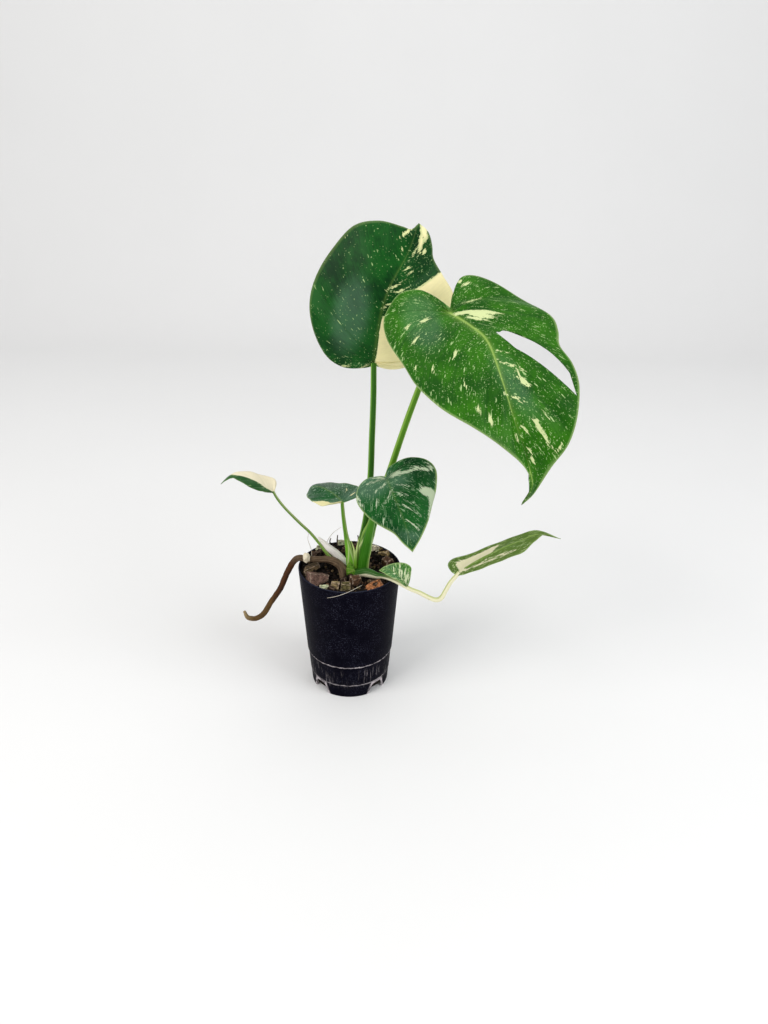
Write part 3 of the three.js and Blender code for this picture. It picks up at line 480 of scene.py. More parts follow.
class Value:
    """An output of a shader node. Sums, products and the like of it are further nodes."""

    def __init__(self, tree, socket):
        self.tree = tree
        self.socket = socket

    def __add__(self, other):
        return maths("ADD", self, other)

    def __sub__(self, other):
        return maths("SUBTRACT", self, other)

    def __rsub__(self, other):
        return maths("SUBTRACT", other, self)

    def __mul__(self, other):
        return maths("MULTIPLY", self, other)

    def __truediv__(self, other):
        return maths("DIVIDE", self, other)

    def __abs__(self):
        return maths("ABSOLUTE", self)

    def ramp(self, low, high, start=0.0, end=1.0):
        """Goes smoothly from start to end while this value goes from low to high."""
        limits = {"From Min": low, "From Max": high, "To Min": start, "To Max": end}
        return value_from(self.tree, "ShaderNodeMapRange", "Result", {"Value": self, **limits},
                          interpolation_type="SMOOTHSTEP")

    def grain(self, scale, detail=2.0, roughness=0.5, distortion=0.0):
        """Soft noise at this place."""
        inputs = {"Scale": scale, "Detail": detail, "Roughness": roughness, "Distortion": distortion}
        return value_from(self.tree, "ShaderNodeTexNoise", "Fac", {"Vector": self, **inputs})

    def stretched(self, *scale):
        return value_from(self.tree, "ShaderNodeMapping", "Vector", {"Vector": self, "Scale": scale})

    def vector_maths(self, operation, other, socket=1):
        inputs = {0: self, socket: other}
        return value_from(self.tree, "ShaderNodeVectorMath", 0, inputs, operation=operation)

    def axes(self):
        parts = add_node(self.tree, "ShaderNodeSeparateXYZ", {0: self}).outputs
        return [Value(self.tree, part) for part in parts]


def fill(sockets, values):
    """Links shader values to sockets, and sets plain numbers, vectors and colours on them."""
    for key, value in values.items():
        socket = sockets[key]
        if isinstance(value, Value):
            value.tree.links.new(value.socket, socket)
        elif socket.type == "RGBA":
            socket.default_value = (*value, 1)
        else:
            socket.default_value = value


def add_node(tree, kind, inputs, **settings):
    made = tree.nodes.new(kind)
    for key, value in settings.items():
        setattr(made, key, value)
    fill(made.inputs, inputs)
    return made


def value_from(tree, kind, output, inputs, **settings):
    return Value(tree, add_node(tree, kind, inputs, **settings).outputs[output])


def maths(operation, a, b=0.0):
    tree = a.tree if isinstance(a, Value) else b.tree
    return value_from(tree, "ShaderNodeMath", 0, {0: a, 1: b}, operation=operation)


def larger(a, b):
    return maths("MAXIMUM", a, b)


# Numbers of the mix node's sockets for colours
FACTOR, FIRST, SECOND, RESULT = 0, 6, 7, 2


def blend(share, a, b, mode="MIX"):
    """Colour a, moved towards colour b by this share."""
    tree = next(value.tree for value in (share, a, b) if isinstance(value, Value))
    return value_from(tree, "ShaderNodeMix", RESULT, {FACTOR: share, FIRST: a, SECOND: b},
                      data_type="RGBA", blend_type=mode)


def layered(colour, *layers):
    """A colour with others laid over it, each with its share."""
    for share, tone in layers:
        colour = blend(share, colour, tone)
    return colour


def place(tree):
    return value_from(tree, "ShaderNodeTexCoord", "Object", {})


def new_group(name, vectors, numbers, outputs):
    """An empty shader group: its tree, its inputs as values, and the sockets of its outputs."""
    tree = bpy.data.node_groups.new(name, "ShaderNodeTree")
    for label in (*vectors, *numbers):
        kind = "NodeSocketVector" if label in vectors else "NodeSocketFloat"
        tree.interface.new_socket(label, in_out="INPUT", socket_type=kind)
    for label in outputs:
        tree.interface.new_socket(label, in_out="OUTPUT", socket_type="NodeSocketFloat")
    given = {socket.name: Value(tree, socket) for socket in tree.nodes.new("NodeGroupInput").outputs}
    return tree, given, tree.nodes.new("NodeGroupOutput").inputs


def use_group(tree, name, inputs):
    made = add_node(tree, "ShaderNodeGroup", {}, node_tree=bpy.data.node_groups[name])
    fill(made.inputs, inputs)
    return {socket.name: Value(tree, socket) for socket in made.outputs}


class Skin:
    """A material under way, with its node tree and its shader."""

    def __init__(self, name, roughness=0.5, specular=0.5):
        self.material = bpy.data.materials.new(name)
        self.material.use_nodes = True
        self.tree = self.material.node_tree
        self.tree.nodes.clear()
        self.shader = add_node(self.tree, "ShaderNodeBsdfPrincipled",
                               {"Roughness": roughness, "Specular IOR Level": specular})
        surface = Value(self.tree, self.shader.outputs[0])
        add_node(self.tree, "ShaderNodeOutputMaterial", {"Surface": surface})

    def attribute(self, name, output="Fac"):
        return value_from(self.tree, "ShaderNodeAttribute", output, {}, attribute_name=name)

    def place(self):
        return place(self.tree)

    def finish(self, colour, relief=None, depth=0.0, strength=1.0, roughness=None):
        """Sets the colour and the fine relief, whose depth is in metres, and gives the material."""
        inputs = {"Base Color": colour}
        if relief:
            inputs["Normal"] = value_from(self.tree, "ShaderNodeBump", "Normal",
                                          {"Height": relief, "Distance": depth, "Strength": strength})
        if roughness:
            inputs["Roughness"] = roughness
        fill(self.shader.inputs, inputs)
        return self.material


def speckles(vector, scale, amount, size, dimensions="3D"):
    """Separate ragged specks: amount is the share of cells with one, size its largest radius in cells."""
    shake = value_from(vector.tree, "ShaderNodeTexNoise", "Color",
                       {"Vector": vector, "Scale": scale * 2.2, "Detail": 2.0})
    shake = shake.vector_maths("SUBTRACT", (0.5, 0.5, 0.5)).vector_maths("SCALE", 0.6 / scale, "Scale")
    inputs = {"Vector": vector.vector_maths("ADD", shake), "Scale": scale}
    cells = add_node(vector.tree, "ShaderNodeTexVoronoi", inputs, voronoi_dimensions=dimensions)
    colour, distance = (Value(vector.tree, cells.outputs[name]) for name in ("Color", "Distance"))
    chance = value_from(vector.tree, "ShaderNodeSeparateColor", 0, {0: colour})
    share = larger(chance - (1.0 - amount), 0.0) / larger(amount, 0.001)
    return (maths("SQRT", share) * size - distance).ramp(0.0, 0.08)


def build_marbling_group():
    """Cream borders, borders of the painted sheen, elongated flecks and fine dots, and the broad shade of a
    leaf.
    """
    tree, given, wanted = new_group(
        "Leaf marbling", ["Rib vector"],
        ["Cream distance", "Painted sheen distance", "Streak amount", "Dot amount"],
        ["Cream", "Painted sheen", "Streaks", "Dots", "Shade"])
    rib, streak_amount, dot_amount = given["Rib vector"], given["Streak amount"], given["Dot amount"]
    spot = place(tree)
    ribbed = rib.stretched(0.75, 0.1, 1).grain(1.0, 3, 0.6)
    shift = (spot.grain(420, 3, 0.6) - 0.5) * 2.4 + (ribbed - 0.5) * 5.5
    patches = spot.grain(55, 2).ramp(0.35, 0.65, 0.45, 1.5)
    streaks = speckles(rib.stretched(0.42, 0.12, 1), 1.0, streak_amount * patches, 0.3, "2D")
    fine_streaks = speckles(rib.stretched(0.85, 0.2, 1), 1.0, streak_amount * 1.4, 0.34, "2D")
    dots = speckles(spot, 420.0, dot_amount * patches, 0.3)
    fine_dots = speckles(spot, 800.0, dot_amount, 0.36)
    fill(wanted, {
        "Cream": (given["Cream distance"] + shift).ramp(-0.2, 0.3),
        # Painted sheen: a soft-edged mask of silvery highlight
        "Painted sheen": (given["Painted sheen distance"] + shift).ramp(-6.0, 7.0),
        "Streaks": larger(streaks, fine_streaks * 0.75),
        "Dots": larger(dots, fine_dots * 0.8),
        "Shade": (spot.grain(30, 4, 0.6) + ribbed * 0.45).ramp(0.52, 0.92),
    })


def build_skin_group():
    """The fine relief of living skin: tiny cells with soft edges."""
    tree, given, wanted = new_group("Living skin", ["Vector"], ["Scale"], ["Relief"])
    vector, scale = given["Vector"], given["Scale"]
    cells = value_from(tree, "ShaderNodeTexVoronoi", "Distance", {"Vector": vector, "Scale": scale},
                       feature="DISTANCE_TO_EDGE")
    fill(wanted, {"Relief": cells.ramp(0.0, 0.3) * 0.5 + vector.grain(scale, 3, 0.6)})


def build_grime_group():
    """Dust and curled scuffs that gather in patches."""
    tree, given, wanted = new_group("Scuffs and dust", [], ["Scale", "Amount"], ["Dust", "Scuffs"])
    scale, amount = given["Scale"], given["Amount"]
    spot = place(tree)
    coarse = spot.grain(scale * 0.12, 3, 0.6)
    curls = abs(spot.grain(scale, 4, 0.7, 1.2) - 0.5)
    patches = spot.grain(scale * 1.6, 1).ramp(0.52, 0.62) * coarse.ramp(0.3, 0.7)
    scuffs = curls.ramp(0.04, 0.01) * patches
    fill(wanted, {"Dust": coarse.ramp(0.35, 0.75) * amount, "Scuffs": scuffs * amount})


def leaf_material(name, look):
    """Skin of one blade: green, flecked and marbled with cream."""
    own = LEAF_LOOKS[name]
    skin = Skin(name.replace("blade", "leaf"), specular=look.gloss)
    fleck_share, under = skin.attribute("fleck_share"), skin.attribute("under")
    marbling = use_group(skin.tree, "Leaf marbling", {
        "Cream distance": skin.attribute("cream"), "Painted sheen distance": skin.attribute("painted_sheen"),
        "Rib vector": skin.attribute("rib", "Vector"), "Streak amount": fleck_share * own["streaks"],
        "Dot amount": fleck_share * own["dots"]})
    fleck_colour = own.get("fleck", look.fleck_colour)
    green = layered(
        blend(marbling["Shade"], own["dark"], own["bright"]),
        # Painted sheen: a silvery highlight laid over the greens
        (marbling["Painted sheen"] * own["painted_sheen"], look.painted_sheen_colour),
        # On the tall and split blades the veins are darkened with painted shade, as in sunk grooves; on the
        # others they take their own pale colour
        (skin.attribute("vein") * own["veins"],
         look.vein_groove_shade_colour if name in ("blade_tall", "blade_split") else look.vein_colour),
        (marbling["Dots"] * 0.52, fleck_colour),
        (marbling["Streaks"] * 0.8, fleck_colour),
        (skin.attribute("midrib") * own["midrib"], look.midrib_colour),
        (skin.attribute("rim") * own["rim"], look.rim_colour))
    cream = blend(marbling["Shade"], own["cream"], [tone * 0.9 for tone in own["cream"]])
    if name in ("blade_tall", "blade_outer"):
        border = [0.35 * c + 0.65 * g for c, g in zip(own["cream"], look.rim_colour)]
        cream = blend(skin.attribute("cream").ramp(0.0, 2.4), border, cream)
    colour = layered(green, (marbling["Cream"], cream), (under * 0.3, look.underside_colour))
    relief = use_group(skin.tree, "Living skin", {"Vector": skin.place(), "Scale": 900.0})["Relief"]
    return skin.finish(colour, relief, 0.00012, 0.5, marbling["Cream"] * 0.14 + 0.36 + under * 0.15)


# Blades

def blade_points(blade, side, along, across):
    """Places on the sheet of a blade: along from sinus to tip, across from midrib to margin."""
    midrib = Path(blade["midrib"])
    margin = Path([blade["sinus"], *blade[side], blade["midrib"][-1]])
    share = clamp((along - blade["fan"]) / (1 - blade["fan"])) ** blade["sweep"]
    foot = midrib.at(share)
    chord = margin.at(along) - foot
    up = unit(np.outer(1 - share, blade["up_base"]) + np.outer(share, blade["up_tip"]))
    length = np.linalg.norm(chord, axis=1)
    arch = (4 * across * (1 - across) * length)[:, None]
    bow = (blade["bow"] * np.minimum(1, along / blade["fan"]))[:, None]
    points = foot + chord * across[:, None] + up * blade["dome"] * arch - midrib.tangent(share) * bow * arch
    return points, length, share, margin.length


def parted(split, along, across, edge):
    """Moves the ribs next to the split apart."""
    offset = along - split["at"]
    share = clamp((across - split["start"]) / (split["end"] - split["start"]))
    fade = np.maximum(0, 1 - np.abs(offset) / split["reach"])
    open_part = (share > 0) & (share < 1)
    opening = np.where(open_part, split["half_width"] * np.sin(np.pi * share) ** 0.45, 0)
    lead = (split["half_width"] - opening) * np.maximum(0, 1 - 8 * share)
    centre = np.where(share > 0, split["tip_edge"] - opening - lead,
                      (split["tip_edge"] - split["half_width"]) * across / split["start"])
    way = np.where(np.abs(offset) < 1e-9, edge, np.sign(offset))
    return along + fade * (centre + way * opening)


def columns_of(blade):
    columns = np.linspace(0, 1, blade["columns"] + 1)
    if "split" in blade:
        for key in ("start", "end"):
            columns[np.abs(columns - blade["split"][key]).argmin()] = blade["split"][key]
    return columns


def spot_on(blade, side, along, across):
    return blade_points(blade, side, np.array([clamp(along)]), np.array([clamp(across)]))[0][0]


def mark_distance(blade, points, marks):
    """How far inside the nearest mark each point lies, in millimetres, negative outside."""
    best = np.full(len(points), -FAR_FROM_MARK)
    sided = [(side, *mark) for side, group in marks.items() for mark in group]
    for side, along, across, half_length, half_width, turn in sided:
        centre = spot_on(blade, side, along, across)
        ahead, back = (spot_on(blade, side, along, across + step) for step in (0.02, -0.02))
        direction = unit(ahead - back)
        normal = unit(np.cross(direction, spot_on(blade, side, along + 0.01, across) - centre))
        direction = np.array(Matrix.Rotation(math.radians(turn), 3, Vector(normal)) @ Vector(direction))
        offset = points - centre
        lengthwise = offset @ direction
        sideways = np.linalg.norm(offset - np.outer(lengthwise, direction), axis=1)
        inside = 1 - np.hypot(lengthwise / half_length, sideways / half_width)
        best = np.maximum(best, inside * half_width)
    return clamp(best, -FAR_FROM_MARK, FAR_FROM_MARK)


def sector_distance(name, side, along, across, spread, length):
    """How far inside a wholly cream sector each point lies, in millimetres, negative outside."""
    best = np.full(len(along), -FAR_FROM_MARK)
    for start, end, inner, inner_end, outer in CREAM_SECTORS.get(name, {}).get(side, []):
        inside = inner + (inner_end - inner) * clamp((along - start) / (end - start))
        borders = [(along - start) * spread, (end - along) * spread, (across - inside) * length,
                   (outer - across) * length]
        best = np.maximum(best, np.min(borders, axis=0))
    return clamp(best, -FAR_FROM_MARK, FAR_FROM_MARK)


def vein_relief(blade, side, along, across, spread):
    """Side veins as grooves, with the blade swelling a little between them."""
    veins = np.array(blade["veins"][side])
    gap = np.min(np.abs(along[:, None] - veins[None, :]), axis=1) * spread
    fade = smooth_step(across, 0.0, 0.08) * (1 - smooth_step(across, 0.82, 1.0))
    edges = np.concatenate([[0], veins, [1]])
    phase = np.interp(along, edges, np.arange(len(edges)))
    quilt = blade["quilt"] * (np.sin(np.pi * (phase % 1)) ** 2 - 0.5) * np.sin(np.pi * across) ** 0.7
    wave = blade["wave"] * np.sin(along * 34 + (1 if side == "left" else 2.3)) * across**3
    wave = wave * smooth_step(along, 0, 0.1) * (1 - smooth_step(along, 0.85, 1))
    return bell(gap, 0.45) * fade, quilt + wave - 0.35 * (bell(gap, 1.1) * fade)


def blade_rows(blade, split):
    """Places along the margin, and which edge of the split each lies on. The split has two rows."""
    rows = blade["rows"]
    if not split:
        return [(k / rows, 0) for k in range(rows + 1)]
    at = round(split["at"] * rows)
    return ([(k / rows, 1) for k in range(at)] + [(split["at"], -1), (split["at"], 1)]
            + [(k / rows, 1) for k in range(at + 1, rows + 1)])


def blade_sheet(name, blade):
    """Both halves of a blade as one sheet, with what its material needs to know at each point."""
    columns = columns_of(blade)
    last = len(columns) - 1
    keys, faces = {}, []
    collected = {field: [] for field in (
        "points", "along", "across", "length", "share", "rib", "relief", "vein", "cream_sector")}
    for side in ("left", "right"):
        split = blade.get("split") if side == "left" else None
        rows = blade_rows(blade, split)
        index = np.zeros((len(rows), len(columns)), int)
        for i, (base, edge) in enumerate(rows):
            along = np.full(len(columns), base)
            if split:
                along = parted(split, along, columns, edge)
            points, length, share, margin_length = blade_points(blade, side, along, columns)
            ahead = blade_points(blade, side, np.minimum(along + NEAR, 1), columns)[0]
            before = blade_points(blade, side, np.maximum(along - NEAR, 0), columns)[0]
            spread = np.linalg.norm(ahead - before, axis=1) / (2 * NEAR)
            vein, relief = vein_relief(blade, side, along, columns, spread)
            rib = [along * margin_length - blade.get("lean", 0) * columns * length, columns * length]
            if "lengthwise" in blade:
                rib.reverse()
            fields = (points, along, columns * (1 if side == "right" else -1), length, share,
                      np.column_stack([*rib, np.zeros(len(columns))]), relief, vein,
                      sector_distance(name, side, along, columns, spread, length))
            for j in range(len(columns)):
                key = tuple(np.round(points[j], 3))
                if key not in keys:
                    keys[key] = len(keys)
                    for field, values in zip(collected, fields):
                        collected[field].append(values[j])
                index[i, j] = keys[key]
        for i in range(len(rows) - 1):
            if split and rows[i][0] == rows[i + 1][0]:
                continue
            for j in range(last):
                corner = [index[i, j], index[i, j + 1], index[i + 1, j + 1], index[i + 1, j]]
                corner = without_doubles(corner[::-1] if side == "left" else corner)
                if len(set(corner)) > 2:
                    faces.append(corner)
    return {field: np.array(values) for field, values in collected.items()}, faces


def sheet_normals(points, faces):
    normals = np.zeros_like(points)
    for face in faces:
        corners = points[face]
        normals[face] += sum(np.cross(corners[k] - corners[0], corners[k + 1] - corners[0])
                             for k in range(1, len(face) - 1))
    return unit(normals)


def build_blade(name, look):
    """A blade of its own thickness, with a raised midrib below and sunk veins above."""
    blade = BLADES[name]
    data, faces = blade_sheet(name, blade)
    points, length = data["points"], data["length"]
    across = np.abs(data["across"])
    normals = sheet_normals(points, faces)
    from_midrib, from_margin = across * length, (1 - across) * length
    slim = 1 - 0.7 * data["share"]
    width = blade["midrib_width"]
    half = 0.2 + 0.22 * clamp(from_margin / 6)
    groove = bell(from_midrib, width * 0.7) * slim
    ridge = bell(from_midrib, width * 0.9) * slim
    top = points + normals * (half + data["relief"] - 0.3 * groove)[:, None]
    bottom = points - normals * (half - data["relief"] + 0.9 * ridge + 0.2 * data["vein"])[:, None]
    count = len(points)
    solid_faces = [list(face) for face in faces] + [[v + count for v in reversed(face)] for face in faces]
    edges = {(face[k - 1], face[k]) for face in faces for k in range(len(face))}
    for a, b in edges:
        if (b, a) not in edges:
            solid_faces.append([b, a, a + count, b + count])
    line = bell(from_midrib, width * 0.55 * slim + 0.25)
    glow = 0.34 * slim * bell(from_midrib, width * 1.7)
    fleck_share = np.ones(count)
    if name == "blade_tall":
        left_share = 0.5 + 1.5 * smooth_step(data["along"], 0.36, 0.05)
        fleck_share = np.where(data["across"] < 0, left_share, 1.8)
    fields = {
        "fleck_share": fleck_share,
        "cream": np.maximum(mark_distance(blade, points, BLOTCHES.get(name, {})), data["cream_sector"]),
        # Distance inside the patches of painted sheen
        "painted_sheen": mark_distance(blade, points, PAINTED_SHEEN.get(name, {})),
        "vein": data["vein"],
        "midrib": np.maximum(line, glow) * (from_margin > 0.5),
        "rim": 1 - smooth_step(from_margin, 0.25, 1.3),
        "rib": data["rib"],
    }
    attributes = {key: np.concatenate([values, values]) for key, values in fields.items()}
    attributes["under"] = np.repeat([0.0, 1.0], count)
    piece = add_object(name + "_leaf", np.vstack([top, bottom]), solid_faces, attributes)
    return settle(piece, leaf_material(name, look), LEAF_SLOTS.get(name, "leaf_dark"), name)


# Stalks and roots

def sweep(stalk, sides, step, flatten=1.0, shape=None):
    """A tube along a path. Angle 0 faces the front and angle 90 degrees the right."""
    path = Path(stalk["path"])
    count = max(6, int(path.length / step))
    shares = np.linspace(0, 1, count + 1)
    centres, tangents = path.at(shares), path.tangent(shares)
    fronts = unit(FRONT - tangents * (tangents @ FRONT)[:, None])
    rights = np.cross(tangents, fronts)
    given = stalk["radii"]
    radii = np.interp(path.parameter(shares) * (len(given) - 1), range(len(given)), given)
    angles = ring_angles(sides)
    vertices, around = [], []
    for share, centre, radius, front, right in zip(shares, centres, radii, fronts, rights):
        spread = radius * np.ones(sides)
        if shape:
            spread = shape(spread, angles, share * path.length, share, centre)
        vertices.extend(centre + flatten * np.outer(np.cos(angles) * spread, front)
                        + np.outer(np.sin(angles) * spread, right))
        reach = np.full(sides, share * path.length)
        around.extend(np.column_stack([np.cos(angles), np.sin(angles), reach]))
    faces = wall_faces(count + 1, sides)
    for end, way in ((0, -1), (count, 1)):
        cap = len(vertices)
        vertices.append(centres[end] + tangents[end] * way * radii[end] * 0.35)
        around.append([0, 0, shares[end] * path.length])
        faces += [[end * sides + s, end * sides + (s + 1) % sides, cap][::way] for s in range(sides)]
    rise = np.concatenate([np.repeat(shares, sides), shares[[0, -1]]])
    return np.array(vertices), faces, {"around": np.array(around), "rise": rise}


def lengthwise_streaks(skin, tight, stretch, detail=4, roughness=0.6):
    """Streaks that run along a swept piece."""
    return skin.attribute("around", "Vector").stretched(tight, tight, stretch).grain(2.0, detail, roughness)


def stalk_material(name):
    """Smooth stalk skin, with fine lengthwise streaks and one paler side, partly its own pale stripe and
    partly a painted highlight.
    """
    tones = STALK_LOOKS[name]
    spread, change = tones["spread"], tones["change"]
    skin = Skin(name.replace("petiole", "stalk"), 0.42, 0.1)
    rise = skin.attribute("rise")
    streaks = lengthwise_streaks(skin, 3.2, 0.02, roughness=0.65)
    front, right = skin.attribute("around", "Vector").axes()[:2]
    angle = math.radians(tones["angle"])
    across = right * math.sin(angle)
    if "both" in tones:
        across = abs(across)
    facing = front * math.cos(angle) + across + rise.ramp(change, change + 0.35, -0.5 * spread, 0.0)
    start = 1.12 - spread
    colour = layered(
        blend(rise.ramp(change, change + 0.2), tones["base"], tones["top"]),
        # Partly the stalk's own pale stripe, partly a painted highlight along the side set by its angle
        # from the front
        ((facing + streaks * 0.3).ramp(start, start + 0.16) * 0.8, tones["pale"]),
        (streaks.ramp(0.5, 0.75, 0.0, 0.3), tones["pale"]))
    colour = blend(1.0, colour, streaks.ramp(0.2, 0.5, 0.62, 1.0), "MULTIPLY")
    colour = blend(skin.attribute("margin"), colour, (0.5, 0.62, 0.26))
    return skin.finish(colour, streaks, 0.0004, 0.5)


def sheath_margin(name, angles, height):
    """A narrow ridge on each side of a sheath. The two close up towards its top."""
    if name not in SHEATHS:
        return np.zeros(len(angles))
    left, right, top = SHEATHS[name][:3]
    closing = smooth_step(height, top - 34, top)
    meeting = (left + right) / 2
    ridges = np.zeros(len(angles))
    for edge in (left, right):
        turn = np.angle(np.exp(1j * (angles - edge - (meeting - edge) * closing)))
        ridges = np.maximum(ridges, bell(turn, 0.17))
    return ridges * (1 - smooth_step(height, top, top + 5))


def build_petiole(name):
    ridge = SHEATHS[name][3] if name in SHEATHS else 0

    def shape(radius, angles, length, share, centre):
        ripple = 1 + 0.012 * np.cos(angles * 9 + length * 0.02)
        return radius * (ripple + ridge * sheath_margin(name, angles, centre[2]))

    vertices, faces, attributes = sweep(STALKS[name], 40, 1.6, shape=shape)
    angles = np.arctan2(attributes["around"][:, 1], attributes["around"][:, 0])
    attributes["margin"] = np.array([sheath_margin(name, np.array([angle]), height)[0]
                                     for angle, height in zip(angles, vertices[:, 2])])
    piece = add_object(name + "_stalk", vertices, faces, attributes)
    slot = "stalk_pale" if name in ("petiole_outer", "petiole_low") else "stalk_green"
    return settle(piece, stalk_material(name), slot, name)


def build_white_sheath():
    """The papery sheath that has come loose from the outer petiole."""
    def shape(radius, angles, length, share, centre):
        return radius * (1 + 0.05 * np.cos(angles * 5 + length * 0.1))

    skin = Skin("white_sheath")
    streaks = lengthwise_streaks(skin, 2.6, 0.03)
    green_side = (skin.attribute("around", "Vector").axes()[1] * -1.0).ramp(0.6, 0.98)
    colour = blend(streaks, (0.92, 0.83, 0.78), (1.0, 0.97, 0.94))
    colour = blend(green_side * 0.7, colour, (0.3, 0.38, 0.16))
    piece = add_object("outer_white_sheath", *sweep(WHITE_SHEATH, 28, 1.2, 0.6, shape))
    return settle(piece, skin.finish(colour, streaks, 0.0005, 0.6), "stalk_pale")


def build_crown_bract():
    """The short ringed scale that wraps the front of the crown."""
    skin = Skin("green_bract", 0.5, 0.12)
    streaks = lengthwise_streaks(skin, 3.0, 0.03)
    rings = skin.attribute("around", "Vector").stretched(0.4, 0.4, 1.1).grain(1.0, 3, 0.6)
    colour = layered(
        blend(streaks.ramp(0.3, 0.7), (0.03, 0.13, 0.006), (0.14, 0.32, 0.02)),
        (rings.ramp(0.48, 0.7, 0.0, 0.75), (0.3, 0.36, 0.09)),
        (rings.ramp(0.46, 0.3, 0.0, 0.7), (0.04, 0.045, 0.01)),
        (skin.attribute("rise").ramp(0.34, 0.05, 0.0, 0.85), (0.06, 0.045, 0.015)))
    piece = add_object("crown_bract", *sweep(BRACT, 32, 0.8, 0.45))
    return settle(piece, skin.finish(colour, rings, 0.0008, 0.7), "crown_tissue")


def build_sheath_tips():
    """The two pale tongues that meet in a V between the small petiole and the split leaf's one."""
    skin = Skin("sheath_tip", 0.45, 0.16)
    streaks = lengthwise_streaks(skin, 3.0, 0.04)
    low = blend(streaks, (0.1, 0.3, 0.015), (0.26, 0.5, 0.05))
    pale = blend(streaks, (0.42, 0.6, 0.14), (0.7, 0.78, 0.36))
    material = skin.finish(blend(skin.attribute("rise").ramp(0.25, 0.65), low, pale), streaks, 0.0004, 0.5)
    for side, tip in SHEATH_TIPS.items():
        settle(add_object("sheath_tip_" + side, *sweep(tip, 20, 0.8, 0.5)), material, "stalk_green")


def rough_noise(points, scale, seed=0.0):
    return np.array([noise.noise(Vector(p) * scale + Vector((seed, seed, seed))) for p in points])


def root_shape(radius, angles, length, share, centre):
    """Knobs all along a root, and furrows near the crown."""
    spots = np.column_stack([np.cos(angles) * 3, np.sin(angles) * 3, np.full(len(angles), length)])
    knobs = 1 + 0.1 * rough_noise(spots, 0.22) + 0.06 * rough_noise(spots, 0.6, 9.0)
    grooves = 0.05 * np.cos(angles * 7 + length * 0.03) * (1 - smooth_step(share, 0.3, 0.45))
    return radius * (knobs + grooves)


def build_root():
    """The aerial root with the short side root that goes down into the mix."""
    vertices, faces, attributes = sweep(AERIAL_ROOT, 26, 1.5, shape=root_shape)
    side_vertices, side_faces, side = sweep(SIDE_ROOT, 20, 1.5, shape=root_shape)
    faces = faces + [[v + len(vertices) for v in face] for face in side_faces]
    attributes = {"around": np.vstack([attributes["around"], side["around"]]),
                  "rise": np.concatenate([attributes["rise"], np.full(len(side_vertices), 0.12)])}
    piece = add_object("aerial_root_bark", np.vstack([vertices, side_vertices]), faces, attributes)
    skin = Skin("root_bark", 0.7, 0.15)
    rise = skin.attribute("rise")
    blotchy = skin.place().grain(160, 4, 0.65)
    furrows = lengthwise_streaks(skin, 2.4, 0.05, roughness=0.7)
    near, hanging, olive, tip = (blend(blotchy, *tones) for tones in ROOT_TONES)
    colour = layered(near, (rise.ramp(0.36, 0.44), hanging), (rise.ramp(0.62, 0.8), olive),
                     (rise.ramp(0.9, 0.99), tip), (furrows.ramp(0.34, 0.6, 0.75, 0.0), (0.02, 0.01, 0.007)))
    material = skin.finish(colour, furrows + blotchy, 0.0007, 0.7, blotchy.ramp(0.3, 0.7, 0.55, 0.8))
    return settle(piece, material, "root_bark", "aerial_root")


def lumpy_ball(centre, radii, rough=0.12, level=4, seed=0.0, box=0.0, cuts=0):
    """A rounded lump, squared towards a block by box and broken off flat by cuts."""
    maker = bmesh.new()
    bmesh.ops.create_icosphere(maker, subdivisions=level, radius=1.0)
    directions = np.array([v.co[:] for v in maker.verts])
    faces = [[v.index for v in f.verts] for f in maker.faces]
    maker.free()
    squared = directions / np.max(np.abs(directions), axis=1, keepdims=True)
    points = directions * (1 - box) + squared * box
    breaks = random.Random(int(seed * 10) + 3)
    for cut in range(cuts):
        flat = unit(np.array([breaks.gauss(0, 1) for axis in range(3)]))
        over = np.maximum(0, points @ flat - breaks.uniform(0.72, 0.95))
        points = points - np.outer(over, flat)
    bumps = 1 + rough * rough_noise(directions, 1.6, seed)
    bumps += 0.4 * rough * rough_noise(directions, 4.5, seed + 5)
    return points * bumps[:, None] * np.array(radii) + np.array(centre), faces


def turning(points, faces):
    """How sharply a lump's surface turns at each point: 0 on its flats, 1 along its edges."""
    faces = np.array(faces)
    normals = np.cross(points[faces[:, 1]] - points[faces[:, 0]], points[faces[:, 2]] - points[faces[:, 0]])
    total, area = np.zeros_like(points), np.zeros(len(points))
    for k in range(3):
        np.add.at(total, faces[:, k], normals)
        np.add.at(area, faces[:, k], np.linalg.norm(normals, axis=1))
    return smooth_step(1 - np.linalg.norm(total, axis=1) / np.maximum(area, 1e-9), 0.008, 0.065)


def build_root_bud():
    vertices, faces = lumpy_ball((-41, -8.3, 143.5), (3.3, 2.9, 4.9), rough=0.3, seed=2.0)
    piece = add_object("root_bud_cream", vertices, faces)
    skin = Skin("cream_bud")
    spots = skin.place().grain(420, 3, 0.6)
    material = skin.finish(blend(spots, (0.62, 0.52, 0.33), (0.85, 0.8, 0.66)), spots, 0.0005, 0.5)
    return settle(piece, material, "root_tip", "root_bud")


